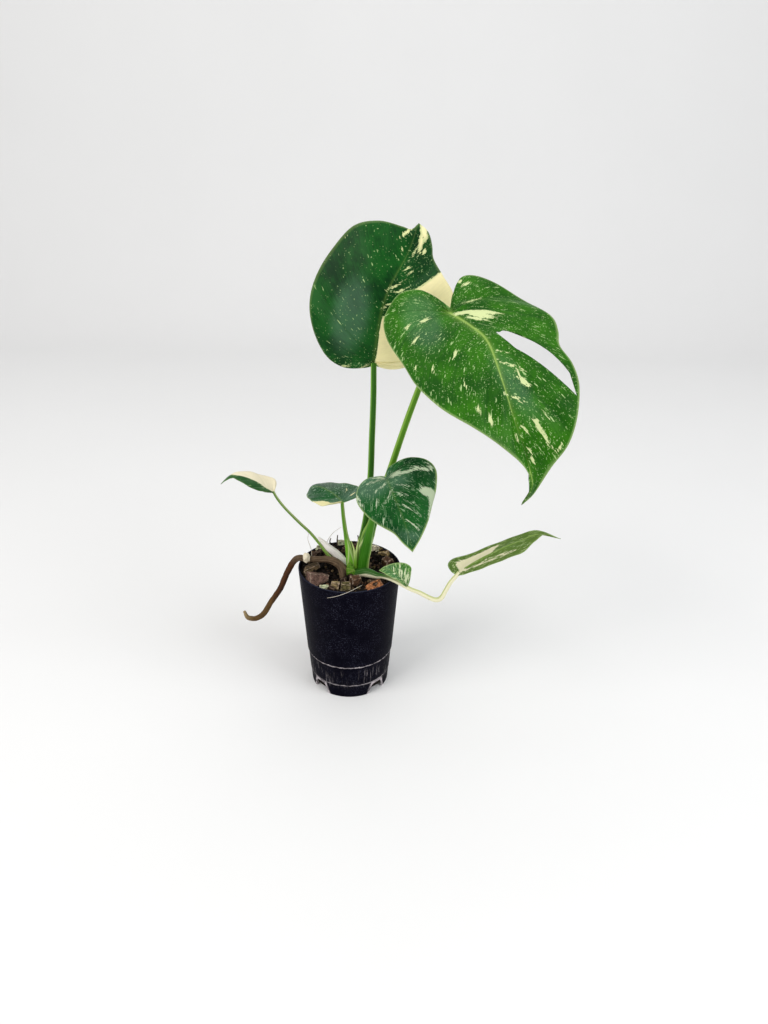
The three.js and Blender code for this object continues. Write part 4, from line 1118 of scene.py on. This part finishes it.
def build_crown():
    """The ringed knob, swelling between the scars of fallen sheaths."""
    sides, rings = 64, 60
    middle_x, middle_y, bottom, top = 6, -3, 98, 131
    angles = ring_angles(sides)
    vertices = []
    for height in np.linspace(bottom, top, rings):
        radius = 10.6 - 5.5 * smooth_step(height, top - 7, top) + 0.35 * math.sin(height * 1.9)
        spots = np.column_stack([np.cos(angles) * 9, np.sin(angles) * 9, np.full(sides, height)])
        radius = radius * (1 + 0.05 * rough_noise(spots, 0.2))
        vertices.extend(np.column_stack([
            middle_x + radius * np.cos(angles), middle_y + radius * np.sin(angles),
            height + 0.6 * np.sin(angles * 2 + height)]))
    faces = wall_faces(rings, sides)
    faces.append(list(range(sides))[::-1])
    faces.append([len(vertices) - sides + s for s in range(sides)])
    piece = add_object("crown_knob", vertices, faces)
    skin = Skin("crown_skin", 0.6)
    spot = skin.place()
    scars = spot.stretched(60, 60, 900).grain(1.0, 3, 0.6)
    colour = blend(scars, (0.06, 0.14, 0.012), (0.26, 0.42, 0.06))
    colour = blend(spot.axes()[2].ramp(0.127, 0.121), colour, (0.06, 0.03, 0.015))
    return settle(piece, skin.finish(colour, scars, 0.0006, 0.7), "crown_tissue", "crown")


# Pot and mix

def pot_profile(pot):
    """Outside and inside of the wall, from the axis out and back."""
    ledge, depth = pot.ledge_height / MM, pot.ledge_depth / MM

    def outer(height):
        wall = RIM_RADIUS - TAPER * (1 - height / POT_HEIGHT)
        return wall - (depth if height < ledge else 0) - (0.4 if height < FOOT_BAND else 0)

    outside = [(outer(0) - 0.4, 0.0), (outer(0), 0.4)]
    outside += [(outer(z), z) for z in (5, 10, 14.3)] + [(outer(15.1) - 0.05, 15.0)]
    outside += [(outer(z), z) for z in (20, 28, ledge - 0.7)]
    outside += [(outer(ledge) - 0.25, ledge - 0.25), (outer(ledge) + 0.05, ledge + 0.1)]
    outside += [(outer(z), z) for z in (48, 60, 75, 90, 105, 118, 126, 130)]
    rim = [(49.85, 130.6), (49.5, 131.0), (48.95, 131.0), (48.6, 130.6)]
    inside = [(outer(z) - WALL, z) for z in (128, 110, 80, ledge + 1, 10)] + [(outer(6) - 1.6, 5.6)]
    foot = [(0, 0), (6, 0), (6, 4), (outer(0) - 2, 4), (outer(0) - 2, 0)]
    return foot + outside + rim + inside + [(0, 5.6)]


def lathe(profile, sides):
    """Turns a profile of radii and heights. Points on the axis stay single."""
    vertices, faces, rings = [], [], []
    angles = ring_angles(sides)
    for radius, height in profile:
        start = len(vertices)
        rings.append([start] * sides if radius == 0 else list(range(start, start + sides)))
        if radius == 0:
            vertices.append((0, 0, height))
        else:
            vertices.extend(np.column_stack([radius * np.cos(angles), radius * np.sin(angles),
                                             np.full(sides, height)]))
    for low, high in zip(rings, rings[1:]):
        for s in range(sides):
            n = (s + 1) % sides
            corner = without_doubles([low[s], low[n], high[n], high[s]])
            if len(corner) > 2:
                faces.append(corner)
    return vertices, faces


def notch_cutter(angle, width):
    """A slanted arch that opens the wall at the foot."""
    half = width / MM / 2
    outline = [(-half, -1), (half, -1)]
    outline += [(6.5 * math.cos(a), 9.2 + 2.8 * math.sin(a)) for a in np.linspace(0, math.pi, 9)]
    cos, sin = math.cos(angle), math.sin(angle)
    vertices = [(x * cos + depth * sin, x * sin - depth * cos, z)
                for depth in NOTCH_DEPTHS for x, z in outline]
    count = len(outline)
    faces = [list(range(count))[::-1], list(range(count, 2 * count)), *wall_faces(2, count)]
    cutter = add_object("notch_cutter", vertices, faces, smooth=False)
    maker = bmesh.new()
    maker.from_mesh(cutter.data)
    bmesh.ops.recalc_face_normals(maker, faces=maker.faces)
    maker.to_mesh(cutter.data)
    maker.free()
    return cutter


def build_pot(pot):
    piece = add_object("nursery_pot", *lathe(pot_profile(pot), pot.segments))
    cutters = [notch_cutter((quarter + 0.5) * math.pi / 2, pot.notch_width) for quarter in range(NOTCHES)]
    for cutter in cutters:
        cut = piece.modifiers.new("Notch", "BOOLEAN")
        cut.object, cut.operation, cut.solver = cutter, "DIFFERENCE", "EXACT"
    shaped = bpy.data.meshes.new_from_object(piece.evaluated_get(bpy.context.evaluated_depsgraph_get()))
    piece.modifiers.clear()
    piece.data = shaped
    for cutter in cutters:
        bpy.data.objects.remove(cutter)
    shaped.polygons.foreach_set("use_smooth", [True] * len(shaped.polygons))
    shaped.set_sharp_from_angle(angle=POT_CREASE)
    return settle(piece, pot_material(pot), "pot_plastic", "pot")


def pot_material(pot):
    """Near-black moulded plastic with swirled scuffs, lime on its ledges and round its notches, and a
    painted highlight along the top of its rim.
    """
    skin = Skin("nursery_plastic", specular=0.018)
    spot = skin.place()
    x, y, z = spot.axes()
    grime = use_group(skin.tree, "Scuffs and dust", {"Scale": 520.0, "Amount": 1.0})
    colour = layered(
        blend(grime["Dust"] * 0.25, pot.colour, (0.008, 0.007, 0.014)),
        (grime["Scuffs"] * y.ramp(-0.02, -0.045) * 0.75, (0.07, 0.076, 0.115)),
        # Painted highlight: the top of the rim is lighter, where the light catches it
        (z.ramp(0.13, 0.1308, 0.0, 0.6), (0.03, 0.034, 0.055)))
    ragged = (spot.grain(300, 4, 0.7) - 0.5) * 0.0032
    height = z + ragged
    band_height, arch_height = 0.0149, 0.0125
    on_ledge = abs(height - (pot.ledge_height - 0.0004)).ramp(0.0012, 0.0004)
    on_band = abs(height - band_height).ramp(0.001, 0.0003) * 0.7
    quarter_turn = maths("FLOORED_MODULO", maths("ARCTAN2", y, x), math.pi / 2)
    from_notch = abs(quarter_turn - math.pi / 4) * FOOT_RADIUS
    notch_side = pot.notch_width / 2 + 0.0002 - z * NOTCH_SLANT
    beside = abs(from_notch + ragged - notch_side).ramp(0.0028, 0.0009) * z.ramp(0.0155, 0.0135)
    above = abs(height - arch_height).ramp(0.002, 0.0007) * from_notch.ramp(0.0075, 0.006)
    lower = z.ramp(0.008, 0.016) * z.ramp(pot.ledge_height, 0.03)
    near_notch = from_notch.ramp(0.026, 0.008, 0.25, 1.0)
    smears = spot.stretched(520, 520, 40).grain(1.0, 4, 0.7).ramp(0.54, 0.72) * (lower * near_notch)
    crust = larger(larger(on_ledge, on_band), larger(beside, above))
    crust = larger(crust, smears * 0.5) * spot.grain(170, 4, 0.7).ramp(0.34, 0.56, 0.25, 1.0)
    colour = blend(crust * 0.9, colour, pot.lime_colour)
    roughness = grime["Dust"] * 0.12 + 0.4 + crust * 0.3
    return skin.finish(colour, grime["Scuffs"] + crust * 2.0, 0.0002, 0.5, roughness)


def mix_height(x, y):
    """Height of the mix, which rises towards the back."""
    rise = 7.5 * (0.5 + 0.5 * (y / 50))
    lumps = math.sin(x * 0.42 + 1) * math.cos(y * 0.37) + 0.6 * math.sin(x * 0.9 - y * 0.8)
    return 124.5 + rise + 1.3 * lumps


class Draws:
    """The same seeded draws as the solids use, so that the chips lie alike."""
    multiplier = 16807
    modulus = 2147483647

    def __init__(self, seed):
        self.state = seed

    def __call__(self):
        self.state = self.state * self.multiplier % self.modulus
        return self.state / self.modulus


def gather_chips():
    """The larger chips where the photograph shows them, and smaller ones by a seeded rule."""
    draw = Draws(7)

    def tilt():
        return 0.35 * (2 * draw() - 1), 0.35 * (2 * draw() - 1)

    chips = [(centre, size, turn, tilt(), tint, False) for centre, size, turn, tint in CHIPS]
    for chip in range(SMALL_CHIPS):
        radius = 10 + 31 * math.sqrt(draw())
        angle = 2 * math.pi * draw()
        size = (4 + 5 * draw(), 3.5 + 3 * draw(), 4 + 2 * draw())
        turn = 3 * draw()
        centre = (radius * math.cos(angle), radius * math.sin(angle))
        chips.append((centre, size, turn, tilt(), "bark", False))
    return chips


def gather_crumbs(settings):
    """Loose crumbs, thrown over the whole mix but clear of the wall."""
    loose = random.Random(settings.crumb_seed)
    crumbs = []
    for crumb in range(settings.crumbs):
        radius, angle = CRUMB_RADIUS * math.sqrt(loose.random()), 2 * math.pi * loose.random()
        size = tuple(loose.uniform(1.0, 3.6) for axis in range(3))
        # Many crumbs take the near-black tint, which adds painted shade down among the chips
        tint = loose.choice(["bark"] * 5 + ["peat_and_gap_shade"] * 6 + ["brown"] * 2 + ["olive", "dark_olive", "olive"])
        if radius < CLEAR_RADIUS:
            centre = (radius * math.cos(angle), radius * math.sin(angle))
            turn = loose.uniform(0, 3)
            tilt = (loose.uniform(-0.6, 0.6), loose.uniform(-0.6, 0.6))
            crumbs.append((centre, size, turn, tilt, tint, True))
    return crumbs


def mix_bed():
    """The lumpy bed of the mix, closed down to the pot's floor."""
    sides, rings = 160, 56
    turns = [(math.cos(2 * math.pi * s / sides), math.sin(2 * math.pi * s / sides)) for s in range(sides)]
    vertices = []
    for ring in range(rings + 1):
        radius = MIX_RADIUS * (1 - ring / (rings + 1))
        for cos, sin in turns:
            x, y = radius * cos, radius * sin
            rough = 1.5 * noise.noise(Vector((x, y, 0)) * 0.35) + 0.9 * noise.noise(Vector((x, y, 4)) * 0.9)
            vertices.append((x, y, mix_height(x, y) - 0.6 + rough))
    faces = wall_faces(rings + 1, sides)
    faces.append([rings * sides + s for s in range(sides)])
    above = 0
    for radius, height in MIX_RINGS:
        base = len(vertices)
        vertices += [(radius * cos, radius * sin, height) for cos, sin in turns]
        for s in range(sides):
            n = (s + 1) % sides
            faces.append([base + s, base + n, above + n, above + s])
        above = base
    faces.append([above + s for s in range(sides)][::-1])
    return vertices, faces


def chip_lump(number, size, small):
    """One chip or crumb about its own middle, with the share of painted highlight along its edges."""
    large = number < len(CHIPS)
    if small:
        rough, level, box, cuts, highlight_strength = 0.3, 2, 0.25, 0, 0
    else:
        rough, level, box = 0.06, 5 if max(size) > 12 else 4, 0.95
        cuts, highlight_strength = (2, 0.85) if large else (3, 0.35)
    lump, faces = lumpy_ball((0, 0, 0), [s * 0.5 for s in size], rough, level, number * 3.7, box, cuts)
    # Painted highlight along the chip edges, broken up in patches
    highlight_share = clamp(0.65 + 0.8 * rough_noise(lump, 0.45, number))
    return lump, faces, highlight_strength * turning(lump, faces) * highlight_share


def build_mix(settings):
    """The bark mix: a lumpy bed, the larger chips, and loose crumbs over all of it."""
    vertices, faces = mix_bed()
    # The bed takes the near-black tint: dark peat, deepened with painted shade of the gaps between chips
    tints = [TINTS["peat_and_gap_shade"]] * len(vertices)
    pieces = gather_chips() + gather_crumbs(settings)
    for number, (centre, size, turn, tilt, tint, small) in enumerate(pieces):
        lump, lump_faces, highlight_share = chip_lump(number, size, small)
        spin = (Matrix.Rotation(turn, 3, "Z") @ Matrix.Rotation(tilt[1], 3, "Y")
                @ Matrix.Rotation(tilt[0], 3, "X"))
        raised = mix_height(*centre) + size[2] * (0.0 if small else 0.12)
        lump = lump @ np.array(spin).T + np.array([*centre, raised])
        pull = np.minimum(1, MIX_RADIUS / np.maximum(np.hypot(lump[:, 0], lump[:, 1]), 1))
        lump[:, :2] *= pull[:, None]
        base = len(vertices)
        vertices.extend(lump.tolist())
        faces.extend([[v + base for v in face] for face in lump_faces])
        plain = np.array(TINTS[tint]) * (0.75 + 0.5 * random.Random(number).random())
        # Edges are tinted towards the painted highlight
        tints.extend((plain + np.outer(highlight_share, np.array(TINTS["edge_highlight"]) - plain)).tolist())
    piece = add_object("bark_mix", vertices, faces, {"tint": tints})
    piece.data.set_sharp_from_angle(angle=CHIP_CREASE)
    skin = Skin("bark_and_peat", 0.85, 0.12)
    spot = skin.place()
    mottle = spot.grain(360, 4, 0.75)
    fibre = spot.stretched(1, 3.2, 1).grain(500, 3, 0.6)
    colour = blend(1.0, skin.attribute("tint", "Color"), mottle.ramp(0.3, 0.7, 0.2, 2.1), "MULTIPLY")
    colour = blend(fibre.ramp(0.62, 0.8, 0.0, 0.2), colour, (0.26, 0.2, 0.12))
    material = skin.finish(colour, mottle + fibre, 0.0008, 0.8, mottle.ramp(0.3, 0.7, 0.65, 0.95))
    return settle(piece, material, "mix", "potting_mix")


def build_fibres():
    for name, (threads, dark, light) in LOOSE_BITS.items():
        skin = Skin(name, 0.75)
        spots = skin.place().grain(350, 3)
        material = skin.finish(blend(spots, dark, light), spots, 0.0002, 0.5)
        for number, thread in enumerate(threads, 1):
            settle(add_object(f"{name}_{number}", *sweep(thread, 10, 0.8)), material, "mix")


# Stage

def area_light(name, location, target, size, power, colour):
    lamp = bpy.data.lights.new(name, "AREA")
    lamp.shape, lamp.size, lamp.size_y = "RECTANGLE", size, size
    lamp.energy, lamp.color = power, colour
    holder = bpy.data.objects.new(name, lamp)
    holder.location = location
    holder.rotation_euler = (Vector(target) - Vector(location)).to_track_quat("-Z", "Y").to_euler()
    bpy.context.scene.collection.objects.link(holder)


def build_floor(colour):
    """A plain floor that curves up into a backdrop."""
    half_width = 3000
    front, bend, radius, top = -2.2, 1.3, 0.5, 3.0
    profile = [(front, 0.0), (bend, 0.0)]
    profile += [(bend + radius * math.sin(a), radius - radius * math.cos(a))
                for a in np.linspace(0.1, math.pi / 2, 12)]
    profile += [(bend + radius, top)]
    vertices = [(x, y / MM, z / MM) for y, z in profile for x in (-half_width, half_width)]
    faces = [[2 * k, 2 * k + 1, 2 * k + 3, 2 * k + 2] for k in range(len(profile) - 1)]
    floor = add_object("studio_floor", vertices, faces)
    skin = Skin("pale_floor", 0.75, 0.2)
    tone = skin.place().grain(3.0, 2)
    floor.data.materials.append(skin.finish(blend(tone, colour, [c * 0.97 for c in colour])))


def build_stage(stage):
    scene = bpy.context.scene
    build_floor(stage.floor_colour)
    power = stage.key_power
    area_light("window_left", (-1.5, -1.1, 1.7), (0.02, 0, 0.22), 1.4, power, (1.0, 0.98, 0.95))
    area_light("window_right", (1.7, -0.9, 1.3), (0.02, 0, 0.2), 1.4, power * 0.75, (0.96, 0.98, 1.0))
    area_light("sky_above", (0.1, -0.1, 2.2), (0.05, 0, 0.2), 2.2, power * 0.4, (1.0, 1.0, 1.0))
    scene.world = scene.world or bpy.data.worlds.new("Studio")
    scene.world.use_nodes = True
    background = scene.world.node_tree.nodes["Background"]
    fill(background.inputs, {"Color": stage.floor_colour, "Strength": stage.sky_strength})
    lens = bpy.data.cameras.new("photo_camera")
    lens.sensor_fit, lens.sensor_height, lens.lens = "VERTICAL", 36, FOCAL_LENGTH
    camera = bpy.data.objects.new("photo_camera", lens)
    camera.matrix_world = (Matrix.Translation(CAMERA_PLACE)
                           @ Matrix.Rotation(math.radians(90 - stage.camera_pitch), 4, "X")
                           @ Matrix.Rotation(math.radians(stage.camera_roll), 4, "Z"))
    scene.collection.objects.link(camera)
    scene.camera = camera
    scene.view_settings.view_transform = "Standard"


# Add-on: settings, operators and panel

def colour_setting(label, about, default):
    return FloatVectorProperty(name=label, description=about, subtype="COLOR", default=default)


def number_setting(label, about, default, kind=FloatProperty, **limits):
    return kind(name=label, description=about, default=default, **limits)


class MonsteraLeafLook(PropertyGroup):
    fleck_colour: colour_setting("Flecks", "Colour of the small pale flecks", (0.44, 0.62, 0.26))
    # Colour of the painted sheen, a silvery highlight on the blades
    painted_sheen_colour: colour_setting("Painted sheen", "Colour of the silvery areas", (0.12, 0.22, 0.15))
    vein_colour: colour_setting("Pale veins", "Colour of pale side veins", (0.22, 0.38, 0.2))
    # Painted shade along the sunk vein grooves of the tall and split blades
    vein_groove_shade_colour: colour_setting("Vein groove shade", "Colour of side veins that are sunk and dark",
                                     (0.004, 0.045, 0.004))
    gloss: number_setting("Gloss", "Strength of the leaf's reflections", 0.09, min=0, max=1)
    midrib_colour: colour_setting("Midrib", "Colour along the midrib", (0.34, 0.5, 0.11))
    rim_colour: colour_setting("Margin", "Colour of the thin pale margin", (0.38, 0.52, 0.2))
    underside_colour: colour_setting("Underside", "Tone that the undersides lean towards",
                                     (0.16, 0.26, 0.08))


class MonsteraPotSettings(PropertyGroup):
    ledge_height: number_setting("Ledge height", "Height of the stacking ledge", 0.039, min=0.02, max=0.08,
                                 unit="LENGTH")
    ledge_depth: number_setting("Ledge depth", "How far the wall steps in below the ledge", 0.0008, min=0.0,
                                max=0.003, unit="LENGTH")
    notch_width: number_setting("Notch width", "Width of a drain notch at the foot", 0.02, min=0.005,
                                max=0.03, unit="LENGTH")
    segments: number_setting("Segments", "Number of sides round the pot", 192, IntProperty, min=48, max=256)
    colour: colour_setting("Plastic", "Colour of the pot", (0.0016, 0.0014, 0.005))
    lime_colour: colour_setting("Lime", "Colour of the dried lime", (0.55, 0.5, 0.52))


class MonsteraMixSettings(PropertyGroup):
    crumbs: number_setting("Crumbs", "Number of loose crumbs on the mix", 700, IntProperty, min=0, max=3000)
    crumb_seed: number_setting("Seed", "Seed of the crumbs' places", 11, IntProperty, min=0)


class MonsteraStageSettings(PropertyGroup):
    floor_colour: colour_setting("Floor", "Colour of the floor and backdrop", (0.84, 0.84, 0.84))
    key_power: number_setting("Key power", "Power of the main light", 30.0, min=0, unit="POWER")
    sky_strength: number_setting("Sky strength", "Strength of the light from all round", 0.54, min=0)
    camera_pitch: number_setting("Camera pitch", "Degrees that the camera looks down", 26.36)
    camera_roll: number_setting("Camera roll", "Degrees that the camera leans", 0.93)


class MonsteraSettings(PropertyGroup):
    leaf: PointerProperty(type=MonsteraLeafLook)
    pot: PointerProperty(type=MonsteraPotSettings)
    mix: PointerProperty(type=MonsteraMixSettings)
    stage: PointerProperty(type=MonsteraStageSettings)


class MONSTERA_OT_shaders(Operator):
    """Build the shader groups that several materials share"""
    bl_idname = "monstera.shaders"
    bl_label = "Shared shaders"

    def execute(self, context):
        build_marbling_group()
        build_skin_group()
        build_grime_group()
        return {"FINISHED"}


class MONSTERA_OT_pot(Operator):
    """Turn the nursery pot and cut its drain notches"""
    bl_idname = "monstera.pot"
    bl_label = "Nursery pot"

    def execute(self, context):
        build_pot(context.scene.monstera.pot)
        return {"FINISHED"}


class MONSTERA_OT_mix(Operator):
    """Fill the pot with bark mix, chips, crumbs and dry fibres"""
    bl_idname = "monstera.mix"
    bl_label = "Potting mix"

    def execute(self, context):
        build_mix(context.scene.monstera.mix)
        build_fibres()
        return {"FINISHED"}


class MONSTERA_OT_roots(Operator):
    """Grow the crown, the aerial root and its bud"""
    bl_idname = "monstera.roots"
    bl_label = "Crown and root"

    def execute(self, context):
        build_crown()
        build_crown_bract()
        build_sheath_tips()
        build_root()
        build_root_bud()
        return {"FINISHED"}


class MONSTERA_OT_petioles(Operator):
    """Grow the petioles and the white sheath"""
    bl_idname = "monstera.petioles"
    bl_label = "Petioles"

    def execute(self, context):
        for name in STALKS:
            build_petiole(name)
        build_white_sheath()
        return {"FINISHED"}


class MONSTERA_OT_blades(Operator):
    """Unfold the marbled leaf blades"""
    bl_idname = "monstera.blades"
    bl_label = "Leaf blades"

    def execute(self, context):
        for name in BLADES:
            build_blade(name, context.scene.monstera.leaf)
        return {"FINISHED"}


class MONSTERA_OT_stage(Operator):
    """Set the pale floor, the soft lights and the camera"""
    bl_idname = "monstera.stage"
    bl_label = "Studio stage"

    def execute(self, context):
        build_stage(context.scene.monstera.stage)
        return {"FINISHED"}


class MONSTERA_PT_panel(Panel):
    """Settings and steps of the potted monstera"""
    bl_idname = "MONSTERA_PT_panel"
    bl_label = "Potted Monstera"
    bl_space_type = "VIEW_3D"
    bl_region_type = "UI"
    bl_category = "Monstera"

    def draw(self, context):
        settings = context.scene.monstera
        for part in (settings.leaf, settings.pot, settings.mix, settings.stage):
            box = self.layout.box()
            for key in part.bl_rna.properties.keys():
                if key not in ("rna_type", "name"):
                    box.prop(part, key)
        for step in STEPS:
            self.layout.operator(step.bl_idname)


STEPS = (MONSTERA_OT_shaders, MONSTERA_OT_pot, MONSTERA_OT_mix, MONSTERA_OT_roots, MONSTERA_OT_petioles,
         MONSTERA_OT_blades, MONSTERA_OT_stage)
CLASSES = (MonsteraLeafLook, MonsteraPotSettings, MonsteraMixSettings, MonsteraStageSettings,
           MonsteraSettings, *STEPS, MONSTERA_PT_panel)


def register():
    for cls in CLASSES:
        bpy.utils.register_class(cls)
    bpy.types.Scene.monstera = PointerProperty(type=MonsteraSettings)


def unregister():
    del bpy.types.Scene.monstera
    for cls in reversed(CLASSES):
        bpy.utils.unregister_class(cls)


def main():
    register()
    bpy.ops.monstera.shaders()
    bpy.ops.monstera.pot()
    bpy.ops.monstera.mix()
    bpy.ops.monstera.roots()
    bpy.ops.monstera.petioles()
    bpy.ops.monstera.blades()
    bpy.ops.monstera.stage()


if __name__ == "__main__":
    main()
